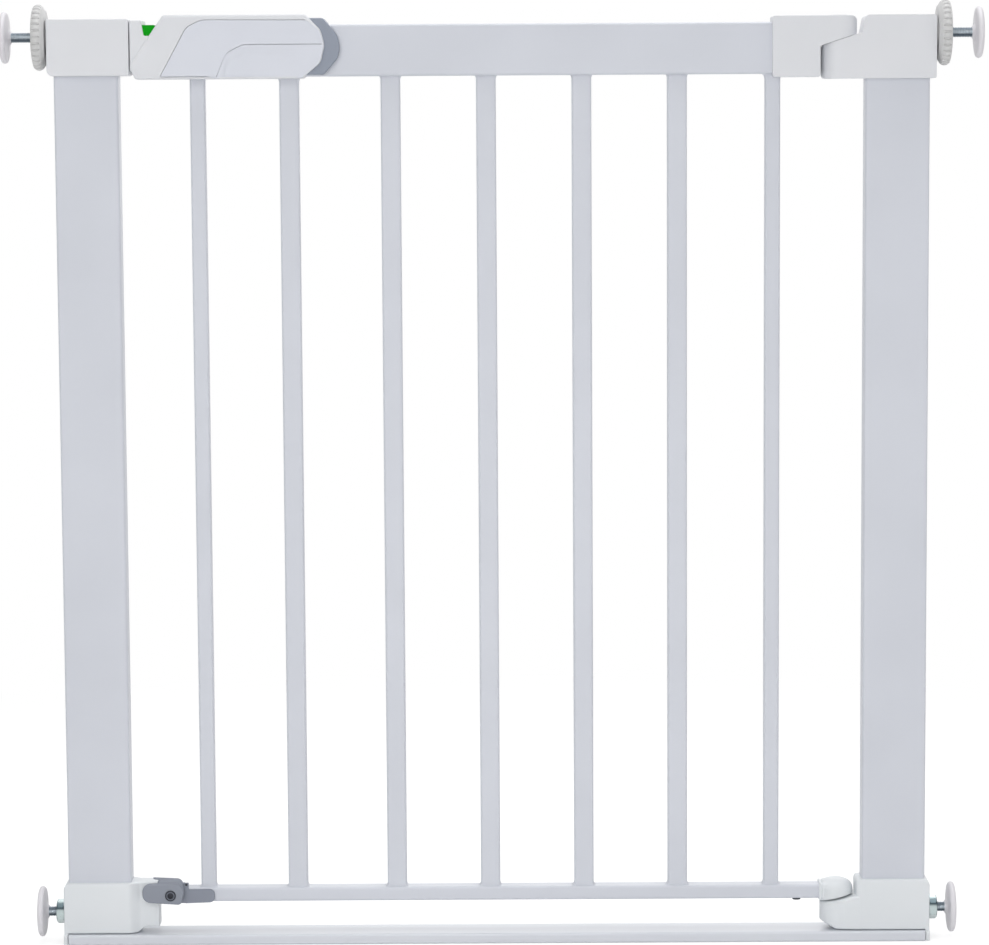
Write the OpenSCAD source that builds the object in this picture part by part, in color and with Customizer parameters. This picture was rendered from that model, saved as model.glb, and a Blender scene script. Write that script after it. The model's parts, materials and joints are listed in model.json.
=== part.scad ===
// Pressure-fit stair gate with a sliding latch, rising hinges and four screw-out wall pads.
// X runs along the gate from the latch side to the hinge side, Y from front to back, Z up from the floor.

/* [Frame] */
// Height of the corner housings above the floor
gate_height = 730; // [700:1:800]
// Width over the two uprights
frame_width = 680; // [660:1:720]
// Width of an upright
upright_width = 50; // [46:1:54]
// Depth of an upright
upright_depth = 20; // [18:0.5:22]
// Wall of the steel tubes
tube_wall = 1.2; // [1:0.1:1.6]
// Outside corner radius of the square tubes
tube_corner = 2; // [1.7:0.1:3]
// Depth of the threshold rail
threshold_depth = 34; // [30:1:40]
// Height of the threshold rail
threshold_height = 8.5; // [8:0.1:9]
// Wall of the threshold rail
threshold_wall = 1.5; // [1.2:0.1:2]

/* [Corner housings] */
// Depth of the hinge housing and of the two foot housings
housing_depth = 28; // [27:0.5:29]
// Depth of the catch housing
catch_depth = 32; // [30:0.5:34]
// Height of the catch housing
catch_height = 43.8; // [43:0.5:50]
// Height of the hinge housing
hinge_housing_height = 49; // [47:0.5:52]
// Height of the foot housings above the floor
foot_height = 49.5; // [48:0.5:55]
// Plastic above the top of an upright
roof = 5; // [4:0.5:6]
// How far a housing stands out past an upright, on the wall side
overhang = 4.6; // [4:0.2:6]
// How far the catch housing reaches past its upright, on the leaf side
catch_reach = 9.2; // [9:0.2:12]
// Thickness of the catch housing's wall on the leaf side
catch_wall = 2.5; // [2:0.1:3]
// Clearance of a housing around its upright
fit = 0.2; // [0.1:0.05:0.3]
// Half depth of the stop finger on the latch-side foot housing
finger_half = 9; // [8:0.5:9.3]
// Length of the stop finger past its upright
finger_length = 21.7; // [20:0.5:23]

/* [Hinges] */
// Distance of the hinge axis from the upright
hinge_setback = 20; // [19:0.5:22]
// Diameter of the hinge pins
pin_d = 8; // [6:0.5:8.5]
// Outside diameter of the hinge bushes
bush_d = 12; // [11:0.5:14]
// Radial running clearance of pins and threads
running = 0.05; // [0.03:0.01:0.08]
// Rise of the upper hinge ramp per millimetre of width
ramp = 0.32; // [0.26:0.01:0.33]
// Gap between the two ramp faces when the leaf is shut
ramp_gap = 0.3; // [0.3:0.05:0.6]
// Length of the leaf knuckle, from the hinge axis to its latch-side face
knuckle_length = 52.5; // [46:0.5:60]
// Radius of the lower knuckle on the leaf
foot_radius = 13.6; // [12:0.2:14]
// Rise of the lower seat per millimetre of width
seat_ramp = 0.22; // [0.1:0.01:0.25]
// Diameter of the upper pin's head
pin_head_d = 13; // [12:0.5:15]

/* [Leaf] */
// Height of the top rail
rail_height = 40; // [38:0.5:42]
// Depth of the top rail
rail_depth = 20; // [18:0.5:20]
// Distance of the top rail below the top of the housings
rail_drop = 5; // [4:0.5:6]
// Height of the bottom rail
low_rail_height = 11; // [10:0.5:12]
// Depth of the bottom rail
low_rail_depth = 15; // [14:0.5:16]
// Height of the bottom rail's underside above the floor
low_rail_z = 33.2; // [33:0.2:36]
// Width of a middle bar
bar_width = 15.4; // [13:0.2:15.6]
// Width of the two flat end bars
end_bar_width = 12; // [10:0.5:14]
// Depth of all the bars from front to back
bar_depth = 10; // [8:0.5:14]
// Distance of the first bar from the latch-side upright
first_bar_in = 61.1; // [58:0.1:64]
// Distance between the first and second bars from the latch side
first_pitch = 71.2; // [68:0.1:75]
// Distance between the second and third bars from the latch side
wide_pitch = 78.8; // [74:0.1:80]
// Distance of the last bar from the hinge axis
last_bar_back = 51.7; // [48:0.1:56]

/* [Handle and latch] */
// Depth of the handle
handle_depth = 35; // [34:0.5:38]
// Thickness of the handle's walls
shell = 2.7; // [2.4:0.1:3]
// Thickness of the handle's inlaid panels
panel = 1.3; // [1:0.1:1.4]
// Gap around the handle's inlaid panels
panel_gap = 0.3; // [0.2:0.05:0.5]
// Gap between the handle's nose and the catch housing
nose_gap = 0.8; // [0.7:0.1:1.5]
// Length of the handle
handle_length = 151; // [145:1:160]
// Height of the handle's raised part
handle_height = 49.4; // [49:0.2:52]
// Distance of the cover's seam from the handle's latch-side end
cover_inset = 23; // [20:0.5:26]
// Length of the handle's lower grip panel
grip_length = 85.6; // [75:0.2:90]
// Height of the handle's lower grip panel
grip_height = 26.4; // [24:0.2:28]
// Distance of the last handle screw from the handle's round end
handle_screw_back = 38; // [36:0.5:40]
// Distance of the middle handle screw from the spring's stop
handle_screw_clear = 17; // [14:0.5:19]
// Distance of the handle's underside below the top rail
handle_under = 1.6; // [1.4:0.1:2]
// Travel of the latch bolt and its slider
bolt_travel = 10; // [9.5:0.1:12]
// How far the bolt stands out of the handle when it is locked
bolt_throw = 9; // [8:0.1:9.2]
// Height of the latch bolt
bolt_height = 16; // [12:0.5:18]
// Depth of the latch bolt
bolt_depth = 10; // [8:0.5:12]
// Length of the latch bolt
bolt_length = 27; // [25:0.5:28]
// Diameter of the rod that pulls the bolt
rod_d = 6; // [5:0.5:7]
// Outside diameter of the release spring
spring_d = 11; // [9.5:0.5:12]
// Wire of the release spring
wire_d = 1.2; // [1:0.1:1.6]
// Turns of the release spring
spring_turns = 8; // [6:1:10]
// Length of the release spring with the bolt out
spring_length = 31; // [28:1:36]
// Width of the green indicator flag
flag_width = 9.6; // [9:0.1:10]
// Outside depth of the thumb slider
slider_depth = 29; // [27:0.5:29]
// Length of the thumb slider
slider_length = 32; // [30:1:36]
// Diameter of the cross pin that joins the slider to the rod
cross_pin_d = 4; // [3:0.5:5]

/* [Latch-side stop] */
// Radius of the stop lever around its screw
lever_radius = 11; // [9:0.5:11.5]
// Reach of the stop lever from its screw
lever_reach = 22.4; // [20:0.5:23]
// Thickness of the stop lever
lever_thickness = 6; // [5:0.5:7]
// Length of the clip's tail along the bottom rail
tail_length = 25; // [20:1:30]
// Diameter of the stop screw's shank
stop_screw_d = 5; // [4:0.5:6]

/* [Wall pads] */
// Diameter of the threaded spindles
spindle_d = 8; // [6:0.5:10]
// Thread pitch of the spindles
thread_pitch = 1.25; // [1:0.05:1.5]
// Length of the spindles
spindle_length = 64; // [60:1:66]
// Diameter of the wall pads
pad_d = 40; // [34:1:44]
// Length of a wall pad with its neck
pad_length = 10; // [9:0.5:12]
// Diameter of the handwheels
wheel_d = 51; // [44:1:54]
// Thickness of a handwheel's rim
wheel_width = 9.8; // [8:0.2:12]
// Number of grooves around a handwheel
wheel_grooves = 30; // [24:1:36]
// How far the upper pads stand out past the uprights
upper_reach = 41; // [38:1:60]
// How far the lower pads stand out past the uprights
lower_reach = 24.5; // [23.5:0.5:45]
// Width across the flats of the lower hex nuts
nut_across = 17; // [13:0.5:18]
// Thickness of the lower hex nuts
nut_height = 6.5; // [5:0.1:8]
// Height of the lower spindles above the floor
low_spindle_z = 24.5; // [23:0.5:28]
// Distance of the upper spindles below the top of the housings
high_spindle_drop = 13.7; // [13:0.1:17]

/* [Screws] */
// Diameter of the housing screws' shanks
screw_d = 4; // [3:0.5:4.5]
// Diameter of the housing screws' heads
screw_head_d = 8; // [7:0.5:9]
// Diameter of the handle screws' shanks
handle_screw_d = 3; // [2.5:0.5:3.5]

/* [Hidden] */
$fn = 48;
eps = 0.01;
bar_count = 7;
steel_paint = "#d3d6de";
white_plastic = "#e4e8e8";
grey_plastic = "#8d949f";
zinc = "#a9b3b8";
dark_steel = "#3c4046";

// Frame levels and faces
outer_x = frame_width / 2;
inner_x = outer_x - upright_width;
upright_top = gate_height - roof;
catch_x = -inner_x + catch_reach;
catch_z = gate_height - catch_height;
hinge_z = gate_height - hinge_housing_height;
housing_half = housing_depth / 2;
high_spindle_z = gate_height - high_spindle_drop;
skirt_z = threshold_height + 0.3;

// Hinge axis and its ramps, which pass through the axis at these heights
hinge_x = inner_x - hinge_setback;
ramp_z = hinge_z + 30;
seat_z = low_rail_z - 0.6;
knuckle_z = hinge_z + 1.4;
knuckle_clear = housing_half + 1.3;
function ramp_at(x) = ramp_z + ramp * x;
function seat_at(x) = seat_z + seat_ramp * x;

// Leaf levels
rail_top = gate_height - rail_drop;
rail_z = rail_top - rail_height;
rail_end = catch_x + nose_gap + 34;
rail_far = hinge_x - knuckle_length + 22;
low_rail_top = low_rail_z + low_rail_height;
low_rail_end = -inner_x + finger_length + 19.3;
low_rail_far = hinge_x - 8;
first_bar = -inner_x + first_bar_in;
second_bar = first_bar + first_pitch;
third_bar = second_bar + wide_pitch;
last_bar = hinge_x - last_bar_back;
bar_pitch = (last_bar - third_bar) / (bar_count - 3);
bars_x = concat(
    [first_bar, second_bar],
    [for (i = [0:bar_count - 3]) third_bar + i * bar_pitch]
);

// Handle and latch levels
handle_x = catch_x + nose_gap;
handle_z = rail_z - handle_under;
handle_top = handle_z + handle_height;
handle_end = handle_x + handle_length;
handle_half = handle_depth / 2;
handle_in = handle_half - shell;
latch_z = rail_z + rail_height / 2;
bolt_x = handle_x - bolt_throw;
bolt_end = bolt_x + bolt_length;
flag_x = handle_x + 9.4;
notch_z = handle_top - 7.3;
spring_x = rail_end + 17;
stop_x = spring_x + spring_length;
cross_pin_x = handle_end - 11;
slider_x = handle_end + 11.3 - slider_length;
handle_screw_spots = [
    [handle_x + 12, rail_z + 5.5],
    [stop_x - handle_screw_clear, rail_z + 6.5],
    [handle_end - handle_screw_back, rail_z + 6.5]
];
handle_screw_head_d = handle_screw_d + 3;

// Stop screw and pads
stop_screw_x = low_rail_end - 9.6;
stop_screw_z = low_rail_z + 6.6;
lever_back = finger_half + 1.1;
stop_screw_head_d = stop_screw_d + 3.4;
housing_screw_z = [catch_z + 12, hinge_z + 12, foot_height - 9];
upper_face = outer_x + upper_reach;
lower_face = outer_x + lower_reach;

function unit(v) = v / norm(v);

// The points of a corner at p between a and b, rounded to radius r
function corner(a, p, b, r, n) =
    let (
        u = unit(a - p),
        w = unit(b - p),
        half = acos(u * w) / 2,
        c = p + unit(u + w) * r / sin(half),
        s = p + u * r / tan(half) - c,
        e = p + w * r / tan(half) - c,
        turn = 180 - 2 * half
    )
    [for (i = [0:n]) c + (sin((1 - i / n) * turn) * s + sin(i / n * turn) * e) / sin(turn)];

// An outline whose points are [x, z, corner radius]
function soft(p, n = 5) = [
    for (i = [0:len(p) - 1])
        let (
            a = p[(i + len(p) - 1) % len(p)],
            b = p[(i + 1) % len(p)],
            q = [p[i][0], p[i][1]]
        )
        each (p[i][2] == 0 ? [q] : corner([a[0], a[1]], q, [b[0], b[1]], p[i][2], n))
];

// Extrudes an outline in X and Z along Y
module along_y(y0, y1) {
    translate([0, y1, 0])
        rotate([90, 0, 0])
            linear_extrude(height = y1 - y0)
                children();
}

// A box from its low corner to its high corner
module block(low, high) {
    translate(low)
        cube(high - low);
}

module rod_x(x0, x1, d, y = 0, z = 0) {
    translate([x0, y, z])
        rotate([0, 90, 0])
            cylinder(d = d, h = x1 - x0);
}

module rod_y(y0, y1, d, x, z) {
    translate([x, y1, z])
        rotate([90, 0, 0])
            cylinder(d = d, h = y1 - y0);
}

module rounded_rect(w, h, r) {
    square([w - 2 * r, h], center = true);
    square([w, h - 2 * r], center = true);
    for (sx = [-1, 1], sy = [-1, 1])
        translate([sx * (w / 2 - r), sy * (h / 2 - r)])
            circle(r = r);
}

module tube_section(w, h, wall, r) {
    difference() {
        rounded_rect(w, h, r);
        rounded_rect(w - 2 * wall, h - 2 * wall, max(r - wall, 0.3));
    }
}

// A square tube along X
module tube_x(x0, x1, depth, height, z0, wall) {
    translate([x0, 0, z0 + height / 2])
        rotate([90, 0, 90])
            linear_extrude(height = x1 - x0)
                tube_section(depth, height, wall, tube_corner);
}

// An upright, seen as the right-hand one
module upright() {
    difference() {
        translate([(inner_x + outer_x) / 2, 0, threshold_height])
            linear_extrude(height = upright_top - threshold_height)
                tube_section(upright_width, upright_depth, tube_wall, tube_corner);
        for (z = [low_spindle_z, high_spindle_z])
            rod_x(inner_x - 1, outer_x + 1, spindle_d + 0.5, 0, z);
        rod_y(0, upright_depth, screw_d + 0.1, (inner_x + outer_x) / 2, housing_screw_z[2]);
        children();
    }
}

module left_upright() {
    color(steel_paint)
        mirror([1, 0, 0])
            upright()
                rod_y(0, upright_depth, screw_d + 0.1, (inner_x + outer_x) / 2, housing_screw_z[0]);
}

module right_upright() {
    color(steel_paint)
        upright()
            rod_y(0, upright_depth, screw_d + 0.1, (inner_x + outer_x) / 2, housing_screw_z[1]);
}

module threshold_rail() {
    color(steel_paint)
        tube_x(-outer_x, outer_x, threshold_depth, threshold_height, 0, threshold_wall);
}

// The room that an upright, its spindle and its screw take in a housing, seen as the right-hand one
module upright_room(z0, z1, spindle_z, screw_z) {
    block(
        [inner_x - fit, -upright_depth / 2 - fit, z0],
        [outer_x + fit, upright_depth / 2 + fit, z1]
    );
    rod_x(outer_x - 1, outer_x + overhang + 1, spindle_d + 0.5, 0, spindle_z);
    rod_y(0, catch_depth, screw_d + 0.1, (inner_x + outer_x) / 2, screw_z);
}

// The way of the latch bolt through a wall on the leaf's edge
module bolt_window(x0, x1) {
    block(
        [x0, -bolt_depth / 2 - 0.3, latch_z - bolt_height / 2 - 0.3],
        [x1, bolt_depth / 2 + 0.3, latch_z + bolt_height / 2 + 0.3]
    );
}

// The strike plate's outer block, grown by a clearance
module strike_block(gap) {
    block(
        [catch_x - catch_wall - 1.7 - gap, -catch_depth / 2 + 4 - gap, latch_z - 15 - gap],
        [catch_x - catch_wall, catch_depth / 2 - 4 + gap, latch_z + 15 + gap]
    );
}

module catch_housing() {
    color(white_plastic)
        difference() {
            along_y(-catch_depth / 2, catch_depth / 2)
                polygon(soft([
                    [-outer_x - overhang, catch_z, 5],
                    [catch_x, catch_z, 2.5],
                    [catch_x, gate_height, 1.5],
                    [-outer_x - overhang, gate_height, 1.5]
                ]));
            mirror([1, 0, 0])
                upright_room(catch_z - 1, upright_top + fit, high_spindle_z, housing_screw_z[0]);
            block(
                [-inner_x - 1, -bolt_depth / 2 - 2, latch_z - bolt_height / 2 - 3],
                [catch_x - catch_wall, bolt_depth / 2 + 2, latch_z + bolt_height / 2 + 3]
            );
            strike_block(0.05);
            bolt_window(catch_x - catch_wall - 1, catch_x + 1);
        }
}

module strike_plate() {
    color(zinc)
        difference() {
            strike_block(0);
            bolt_window(catch_x - catch_wall - 4, catch_x);
        }
}

// A plan shape that is straight on the wall side of the hinge axis and round around it
module hinge_plan(x_far, half, z0, z1, radius) {
    translate([hinge_x, -half, z0])
        cube([x_far - hinge_x, 2 * half, z1 - z0]);
    translate([hinge_x, 0, z0])
        cylinder(r = radius, h = z1 - z0, $fn = 96);
}

module hinge_housing() {
    color(white_plastic)
        difference() {
            intersection() {
                along_y(-housing_half, housing_half)
                    translate([hinge_x, 0])
                        polygon(soft([
                            [-housing_half, hinge_z, 3],
                            [outer_x + overhang - hinge_x, hinge_z, 1.5],
                            [outer_x + overhang - hinge_x, gate_height, 2],
                            [housing_half + 5.4, gate_height, 4],
                            [housing_half + 2.8, ramp_at(housing_half + 2.8), 0],
                            [-housing_half, ramp_at(-housing_half), 3.5]
                        ]));
                hinge_plan(outer_x + overhang, housing_half, hinge_z, gate_height, housing_half);
            }
            upright_room(hinge_z - 1, upright_top + fit, high_spindle_z, housing_screw_z[1]);
            translate([hinge_x, 0, hinge_z + 3])
                cylinder(d = bush_d + 0.04, h = hinge_housing_height);
        }
}

// A bush between two heights on the hinge axis
module bush(z0, z1) {
    translate([hinge_x, 0, z0])
        difference() {
            cylinder(d = bush_d, h = z1 - z0);
            translate([0, 0, -1])
                cylinder(d = pin_d + 2 * running, h = z1 - z0 + 2);
        }
}

module hinge_bush() {
    color("#c9ccce")
        bush(hinge_z + 3, ramp_at(-bush_d / 2) - 0.4);
}

module pivot_bush() {
    color("#c9ccce")
        bush(skirt_z + 2, seat_at(-bush_d / 2) - 0.4);
}

// The outline of a foot housing's wall-side end: it stands on the threshold and covers its end
function foot_end(top_r) = [
    [outer_x + overhang - 1, foot_height, top_r],
    [outer_x + overhang - 1, 0.5, 1],
    [outer_x + fit, 0.5, 0],
    [outer_x + fit, skirt_z, 0]
];

module left_foot_housing() {
    finger_x = inner_x - finger_length;
    color(white_plastic)
        mirror([1, 0, 0])
            difference() {
                union() {
                    along_y(-housing_half, housing_half)
                        polygon(soft(concat(
                            foot_end(5),
                            [[inner_x - 4, skirt_z, 0], [inner_x - 4, foot_height, 2]]
                        )));
                    along_y(-finger_half, finger_half)
                        polygon(soft([
                            [inner_x - 3, skirt_z, 0],
                            [inner_x - 5, skirt_z, 3],
                            [inner_x - 12, skirt_z + 4.4, 3],
                            [finger_x, skirt_z + 4.4, 0.8],
                            [finger_x, foot_height, 2],
                            [inner_x - 3, foot_height, 0]
                        ]));
                }
                upright_room(0, foot_height + 1, low_spindle_z, housing_screw_z[2]);
            }
}

module right_foot_housing() {
    tip = foot_radius - 1;
    wall = foot_radius + 1.6;
    color(white_plastic)
        difference() {
            intersection() {
                along_y(-housing_half, housing_half)
                    polygon(soft(concat(
                        foot_end(5),
                        [
                            [hinge_x, skirt_z, 5],
                            [hinge_x - tip, skirt_z + 9, 2],
                            [hinge_x - tip, seat_at(-tip), 0],
                            [hinge_x + wall, seat_at(wall), 0],
                            [hinge_x + wall, foot_height, 2]
                        ]
                    )));
                hinge_plan(outer_x + overhang, housing_half, 0, foot_height, tip);
            }
            upright_room(0, foot_height + 1, low_spindle_z, housing_screw_z[2]);
            translate([hinge_x, 0, skirt_z + 2])
                cylinder(d = bush_d + 0.04, h = foot_height);
        }
}

// A pan-head screw that goes in towards the front
module housing_screw(x, y_face, z) {
    rod_y(y_face, y_face + 2.6, screw_head_d, x, z);
    rod_y(upright_depth / 2 - 6, y_face, screw_d, x, z);
}

module housing_screws() {
    mid = (inner_x + outer_x) / 2;
    color(zinc) {
        housing_screw(-mid, catch_depth / 2, housing_screw_z[0]);
        housing_screw(mid, housing_half, housing_screw_z[1]);
        for (s = [-1, 1])
            housing_screw(s * mid, housing_half, housing_screw_z[2]);
    }
}

pin_head_z = gate_height - 10;

module upper_hinge_pin() {
    color(zinc)
        translate([hinge_x, 0, 0]) {
            translate([0, 0, hinge_z + 6])
                cylinder(d = pin_d, h = pin_head_z - hinge_z - 6);
            translate([0, 0, pin_head_z])
                cylinder(d = pin_head_d, h = 4);
        }
}

module top_rail() {
    color(steel_paint)
        difference() {
            tube_x(rail_end, rail_far, rail_depth, rail_height, rail_z, tube_wall);
            // the slots in which the cross pin travels
            block(
                [cross_pin_x - cross_pin_d / 2 - 0.5, -rail_depth, latch_z - cross_pin_d / 2 - 0.4],
                [
                    cross_pin_x + bolt_travel + cross_pin_d / 2 + 0.5,
                    rail_depth,
                    latch_z + cross_pin_d / 2 + 0.4
                ]
            );
            for (i = [1, 2])
                rod_y(
                    -rail_depth, rail_depth, handle_screw_d + 0.4,
                    handle_screw_spots[i][0], handle_screw_spots[i][1]
                );
        }
}

module bottom_rail() {
    color(steel_paint)
        difference() {
            tube_x(low_rail_end, low_rail_far, low_rail_depth, low_rail_height, low_rail_z, tube_wall);
            translate([low_rail_far - 23, 0, low_rail_z - 1])
                cylinder(d = handle_screw_d + 0.1, h = 5);
        }
}

// One bar of the leaf, counted from the latch side: the two end bars are flat, the others round
module bar(i) {
    color(steel_paint)
        translate([bars_x[i - 1], 0, low_rail_top])
            linear_extrude(height = rail_z - low_rail_top)
                tube_section(
                    i == 1 || i == bar_count ? end_bar_width : bar_width,
                    bar_depth,
                    tube_wall,
                    tube_corner
                );
}

module leaf_knuckle() {
    top = gate_height - 0.2;
    color(white_plastic)
        difference() {
            intersection() {
                along_y(-housing_half, housing_half)
                    translate([hinge_x, 0])
                        polygon(soft([
                            [-knuckle_length, knuckle_z, 2],
                            [-knuckle_clear, knuckle_z, 2],
                            [-knuckle_clear, ramp_at(-knuckle_clear) + ramp_gap, 0],
                            [housing_half, ramp_at(housing_half) + ramp_gap, 0],
                            [housing_half, top, 5],
                            [-knuckle_length, top, 2]
                        ]));
                union() {
                    block(
                        [hinge_x - knuckle_length, -housing_half, knuckle_z],
                        [hinge_x, housing_half, top]
                    );
                    translate([hinge_x, 0, knuckle_z])
                        cylinder(r = housing_half, h = top - knuckle_z, $fn = 96);
                }
            }
            // the socket of the top rail and the place of the last bar below it
            block(
                [hinge_x - knuckle_length - 1, -rail_depth / 2 - fit, rail_z - fit],
                [rail_far + fit, rail_depth / 2 + fit, rail_top + fit]
            );
            block(
                [hinge_x - knuckle_length - 1, -bar_depth / 2 - fit, knuckle_z - 1],
                [last_bar + end_bar_width / 2 + fit, bar_depth / 2 + fit, rail_z]
            );
            translate([hinge_x, 0, knuckle_z])
                cylinder(d = pin_d + 2 * running, h = gate_height);
            translate([hinge_x, 0, pin_head_z])
                cylinder(d = pin_head_d + 2 * running, h = gate_height);
        }
}

module hinge_cap() {
    color(white_plastic)
        translate([hinge_x, 0, pin_head_z + 4.3])
            cylinder(d = pin_head_d + 0.04, h = gate_height - pin_head_z - 4.1);
}

module leaf_foot() {
    top = low_rail_top + 4.4;
    color(white_plastic)
        difference() {
            union() {
                intersection() {
                    along_y(-foot_radius, foot_radius)
                        polygon([
                            [hinge_x - foot_radius, seat_at(-foot_radius) + 0.8],
                            [hinge_x + foot_radius, seat_at(foot_radius) + 0.8],
                            [hinge_x + foot_radius, top],
                            [hinge_x - foot_radius, top]
                        ]);
                    translate([hinge_x, 0, 0])
                        rotate_extrude($fn = 96)
                            polygon(soft([
                                [0, 0, 0],
                                [foot_radius, 0, 0],
                                [foot_radius, top - 0.8, 4],
                                [foot_radius - 9, top, 4],
                                [0, top, 0]
                            ]));
                }
                block(
                    [hinge_x - foot_radius, -low_rail_depth / 2 - 2, low_rail_z - 1.6],
                    [hinge_x - foot_radius + 5, low_rail_depth / 2 + 2, low_rail_top + 2]
                );
            }
            block(
                [hinge_x - foot_radius - 5, -low_rail_depth / 2 - fit, low_rail_z - fit],
                [low_rail_far + fit, low_rail_depth / 2 + fit, low_rail_top + fit]
            );
            translate([hinge_x, 0, 0])
                cylinder(d = pin_d + 0.04, h = top - 3);
        }
}

module lower_pivot_pin() {
    color(zinc)
        translate([hinge_x, 0, skirt_z + 4])
            cylinder(d = pin_d, h = low_rail_top + 1 - skirt_z - 4);
}

module foot_screw() {
    color(dark_steel)
        translate([low_rail_far - 23, 0, 0]) {
            translate([0, 0, low_rail_z - 2])
                cylinder(d = handle_screw_d + 3.4, h = 2);
            translate([0, 0, low_rail_z - 0.5])
                cylinder(d = handle_screw_d, h = 5);
        }
}

// The handle seen from the front: a low nose with a notch, then the raised part and its round end
handle_outline = soft([
    [handle_x, handle_z + 6, 1],
    [handle_x + 4, handle_z, 2],
    [handle_end - 18, handle_z, 3],
    [handle_end - 3.2, handle_z + 12, 10],
    [handle_end, handle_z + 26, 12],
    [handle_end - 3.2, handle_top - 12, 10],
    [handle_end - 15, handle_top, 2],
    [handle_x + 26, handle_top, 3],
    [handle_x + 19.8, notch_z, 0],
    [handle_x + 14.6, notch_z - 8.6, 1.5],
    [handle_x + 11, notch_z - 8.6, 1.5],
    [handle_x + 9.6, notch_z, 0],
    [handle_x + 9.2, notch_z + 3.4, 0.8],
    [handle_x, notch_z + 3.4, 1.5]
]);

// The panels' outline on the handle's front, and the lower panel's share of it
cover_x = handle_x + cover_inset;
grip_x = handle_end - grip_length;
panels_outline = soft([
    [cover_x, handle_z + 1.6, 0.8],
    [cover_x + 21, handle_top - 9.4, 10],
    [cover_x + 33, handle_top - 3.8, 16],
    [handle_end + 5, handle_top - 3.2, 0],
    [handle_end + 5, handle_z - 2, 0],
    [grip_x + 4.6, handle_z - 2, 0],
    [grip_x - 5.4, handle_z + 1.6, 0]
]);
grip_outline = soft([
    [grip_x, handle_z - 3, 0],
    [grip_x + 9.1, handle_z + grip_height - 6.4, 12],
    [grip_x + 22.6, handle_z + grip_height, 12],
    [handle_end + 6, handle_z + grip_height, 0],
    [handle_end + 6, handle_z - 3, 0]
]);

// The room inside the handle: under the low nose, and higher behind the notch
module handle_room() {
    block(
        [handle_x + 5, -handle_in, rail_z - fit],
        [rail_end - 2, handle_in, notch_z + 0.3]
    );
    block(
        [rail_end - 2.5, -handle_in, rail_z - fit],
        [handle_end + 1, handle_in, handle_top - shell]
    );
    bolt_window(handle_x - 1, handle_x + 6);
    // the first two bars come up through the handle's underside
    block(
        [bars_x[0] - end_bar_width / 2 - fit, -bar_depth / 2 - fit, handle_z - 1],
        [bars_x[0] + end_bar_width / 2 + fit, bar_depth / 2 + fit, rail_z]
    );
    block(
        [bars_x[1] - bar_width / 2 - fit, -bar_depth / 2 - fit, handle_z - 1],
        [bars_x[1] + bar_width / 2 + fit, bar_depth / 2 + fit, rail_z]
    );
}

// Bosses that the handle screws pass: one spans the nose, the others stop at the rail
module handle_bosses() {
    for (i = [0:2])
        for (s = [-1, 1])
            mirror([0, s > 0 ? 0 : 1, 0])
                rod_y(
                    i == 0 ? 0 : rail_depth / 2 + fit, handle_in + eps, handle_screw_d + 4,
                    handle_screw_spots[i][0], handle_screw_spots[i][1]
                );
}

module handle_half_shell(y0, y1) {
    difference() {
        intersection() {
            union() {
                difference() {
                    along_y(-handle_half, handle_half)
                        polygon(handle_outline);
                    handle_room();
                }
                handle_bosses();
            }
            block([handle_x - 5, y0, handle_z - 5], [handle_end + 5, y1, handle_top + 5]);
        }
        for (spot = handle_screw_spots) {
            rod_y(
                -handle_half + shell - 1, handle_half + 1, handle_screw_d + 0.1,
                spot[0], spot[1]
            );
            rod_y(handle_half - 1.6, handle_half + 1, handle_screw_head_d + 0.4, spot[0], spot[1]);
        }
    }
}

module handle_front() {
    color(white_plastic)
        difference() {
            handle_half_shell(-handle_half, -0.05);
            along_y(-handle_half - 1, -handle_half + panel)
                polygon(panels_outline);
        }
}

module handle_back() {
    color(white_plastic)
        handle_half_shell(0.05, handle_half);
}

// A panel in the recess on the handle's front
module handle_panel() {
    along_y(-handle_half - 0.2, -handle_half + panel)
        intersection() {
            children();
            polygon(handle_outline);
        }
}

// The gap is a narrow cut along the edge of an outline
module edge_gap(outline) {
    for (i = [0:len(outline) - 2]) {
        run = outline[i + 1] - outline[i];
        translate(outline[i])
            rotate(atan2(run[1], run[0]))
                translate([-panel_gap / 2, -panel_gap / 2])
                    square([norm(run) + panel_gap, panel_gap]);
    }
}

module handle_cover() {
    color(white_plastic)
        handle_panel()
            difference() {
                polygon(panels_outline);
                edge_gap(panels_outline);
                polygon(grip_outline);
                edge_gap(grip_outline);
            }
}

module grip_panel() {
    color(white_plastic)
        handle_panel()
            difference() {
                intersection() {
                    polygon(panels_outline);
                    polygon(grip_outline);
                }
                edge_gap(grip_outline);
            }
}

module handle_screws() {
    color(zinc)
        for (spot = handle_screw_spots) {
            rod_y(handle_half - 1.6, handle_half + 0.4, handle_screw_head_d, spot[0], spot[1]);
            rod_y(
                -handle_half + shell - 0.4, handle_half - 1.6, handle_screw_d,
                spot[0], spot[1]
            );
        }
}

// The room inside the top rail, less a small clearance
module rail_filling(x0, x1) {
    block(
        [x0, -rail_depth / 2 + tube_wall + 0.15, rail_z + tube_wall + 0.15],
        [x1, rail_depth / 2 - tube_wall - 0.15, rail_top - tube_wall - 0.15]
    );
}

module rail_plug() {
    color("#6f757d")
        difference() {
            union() {
                rail_filling(rail_end, rail_end + 8);
                block(
                    [rail_end - 2, -rail_depth / 2, rail_z + 0.5],
                    [rail_end, rail_depth / 2, rail_top - 0.5]
                );
            }
            rod_x(rail_end - 3, rail_end + 9, rod_d + 0.5, 0, latch_z);
        }
}

module spring_stop() {
    color(zinc)
        difference() {
            rail_filling(stop_x, stop_x + 4);
            rod_x(stop_x - 1, stop_x + 5, rod_d + 0.5, 0, latch_z);
        }
}

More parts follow.
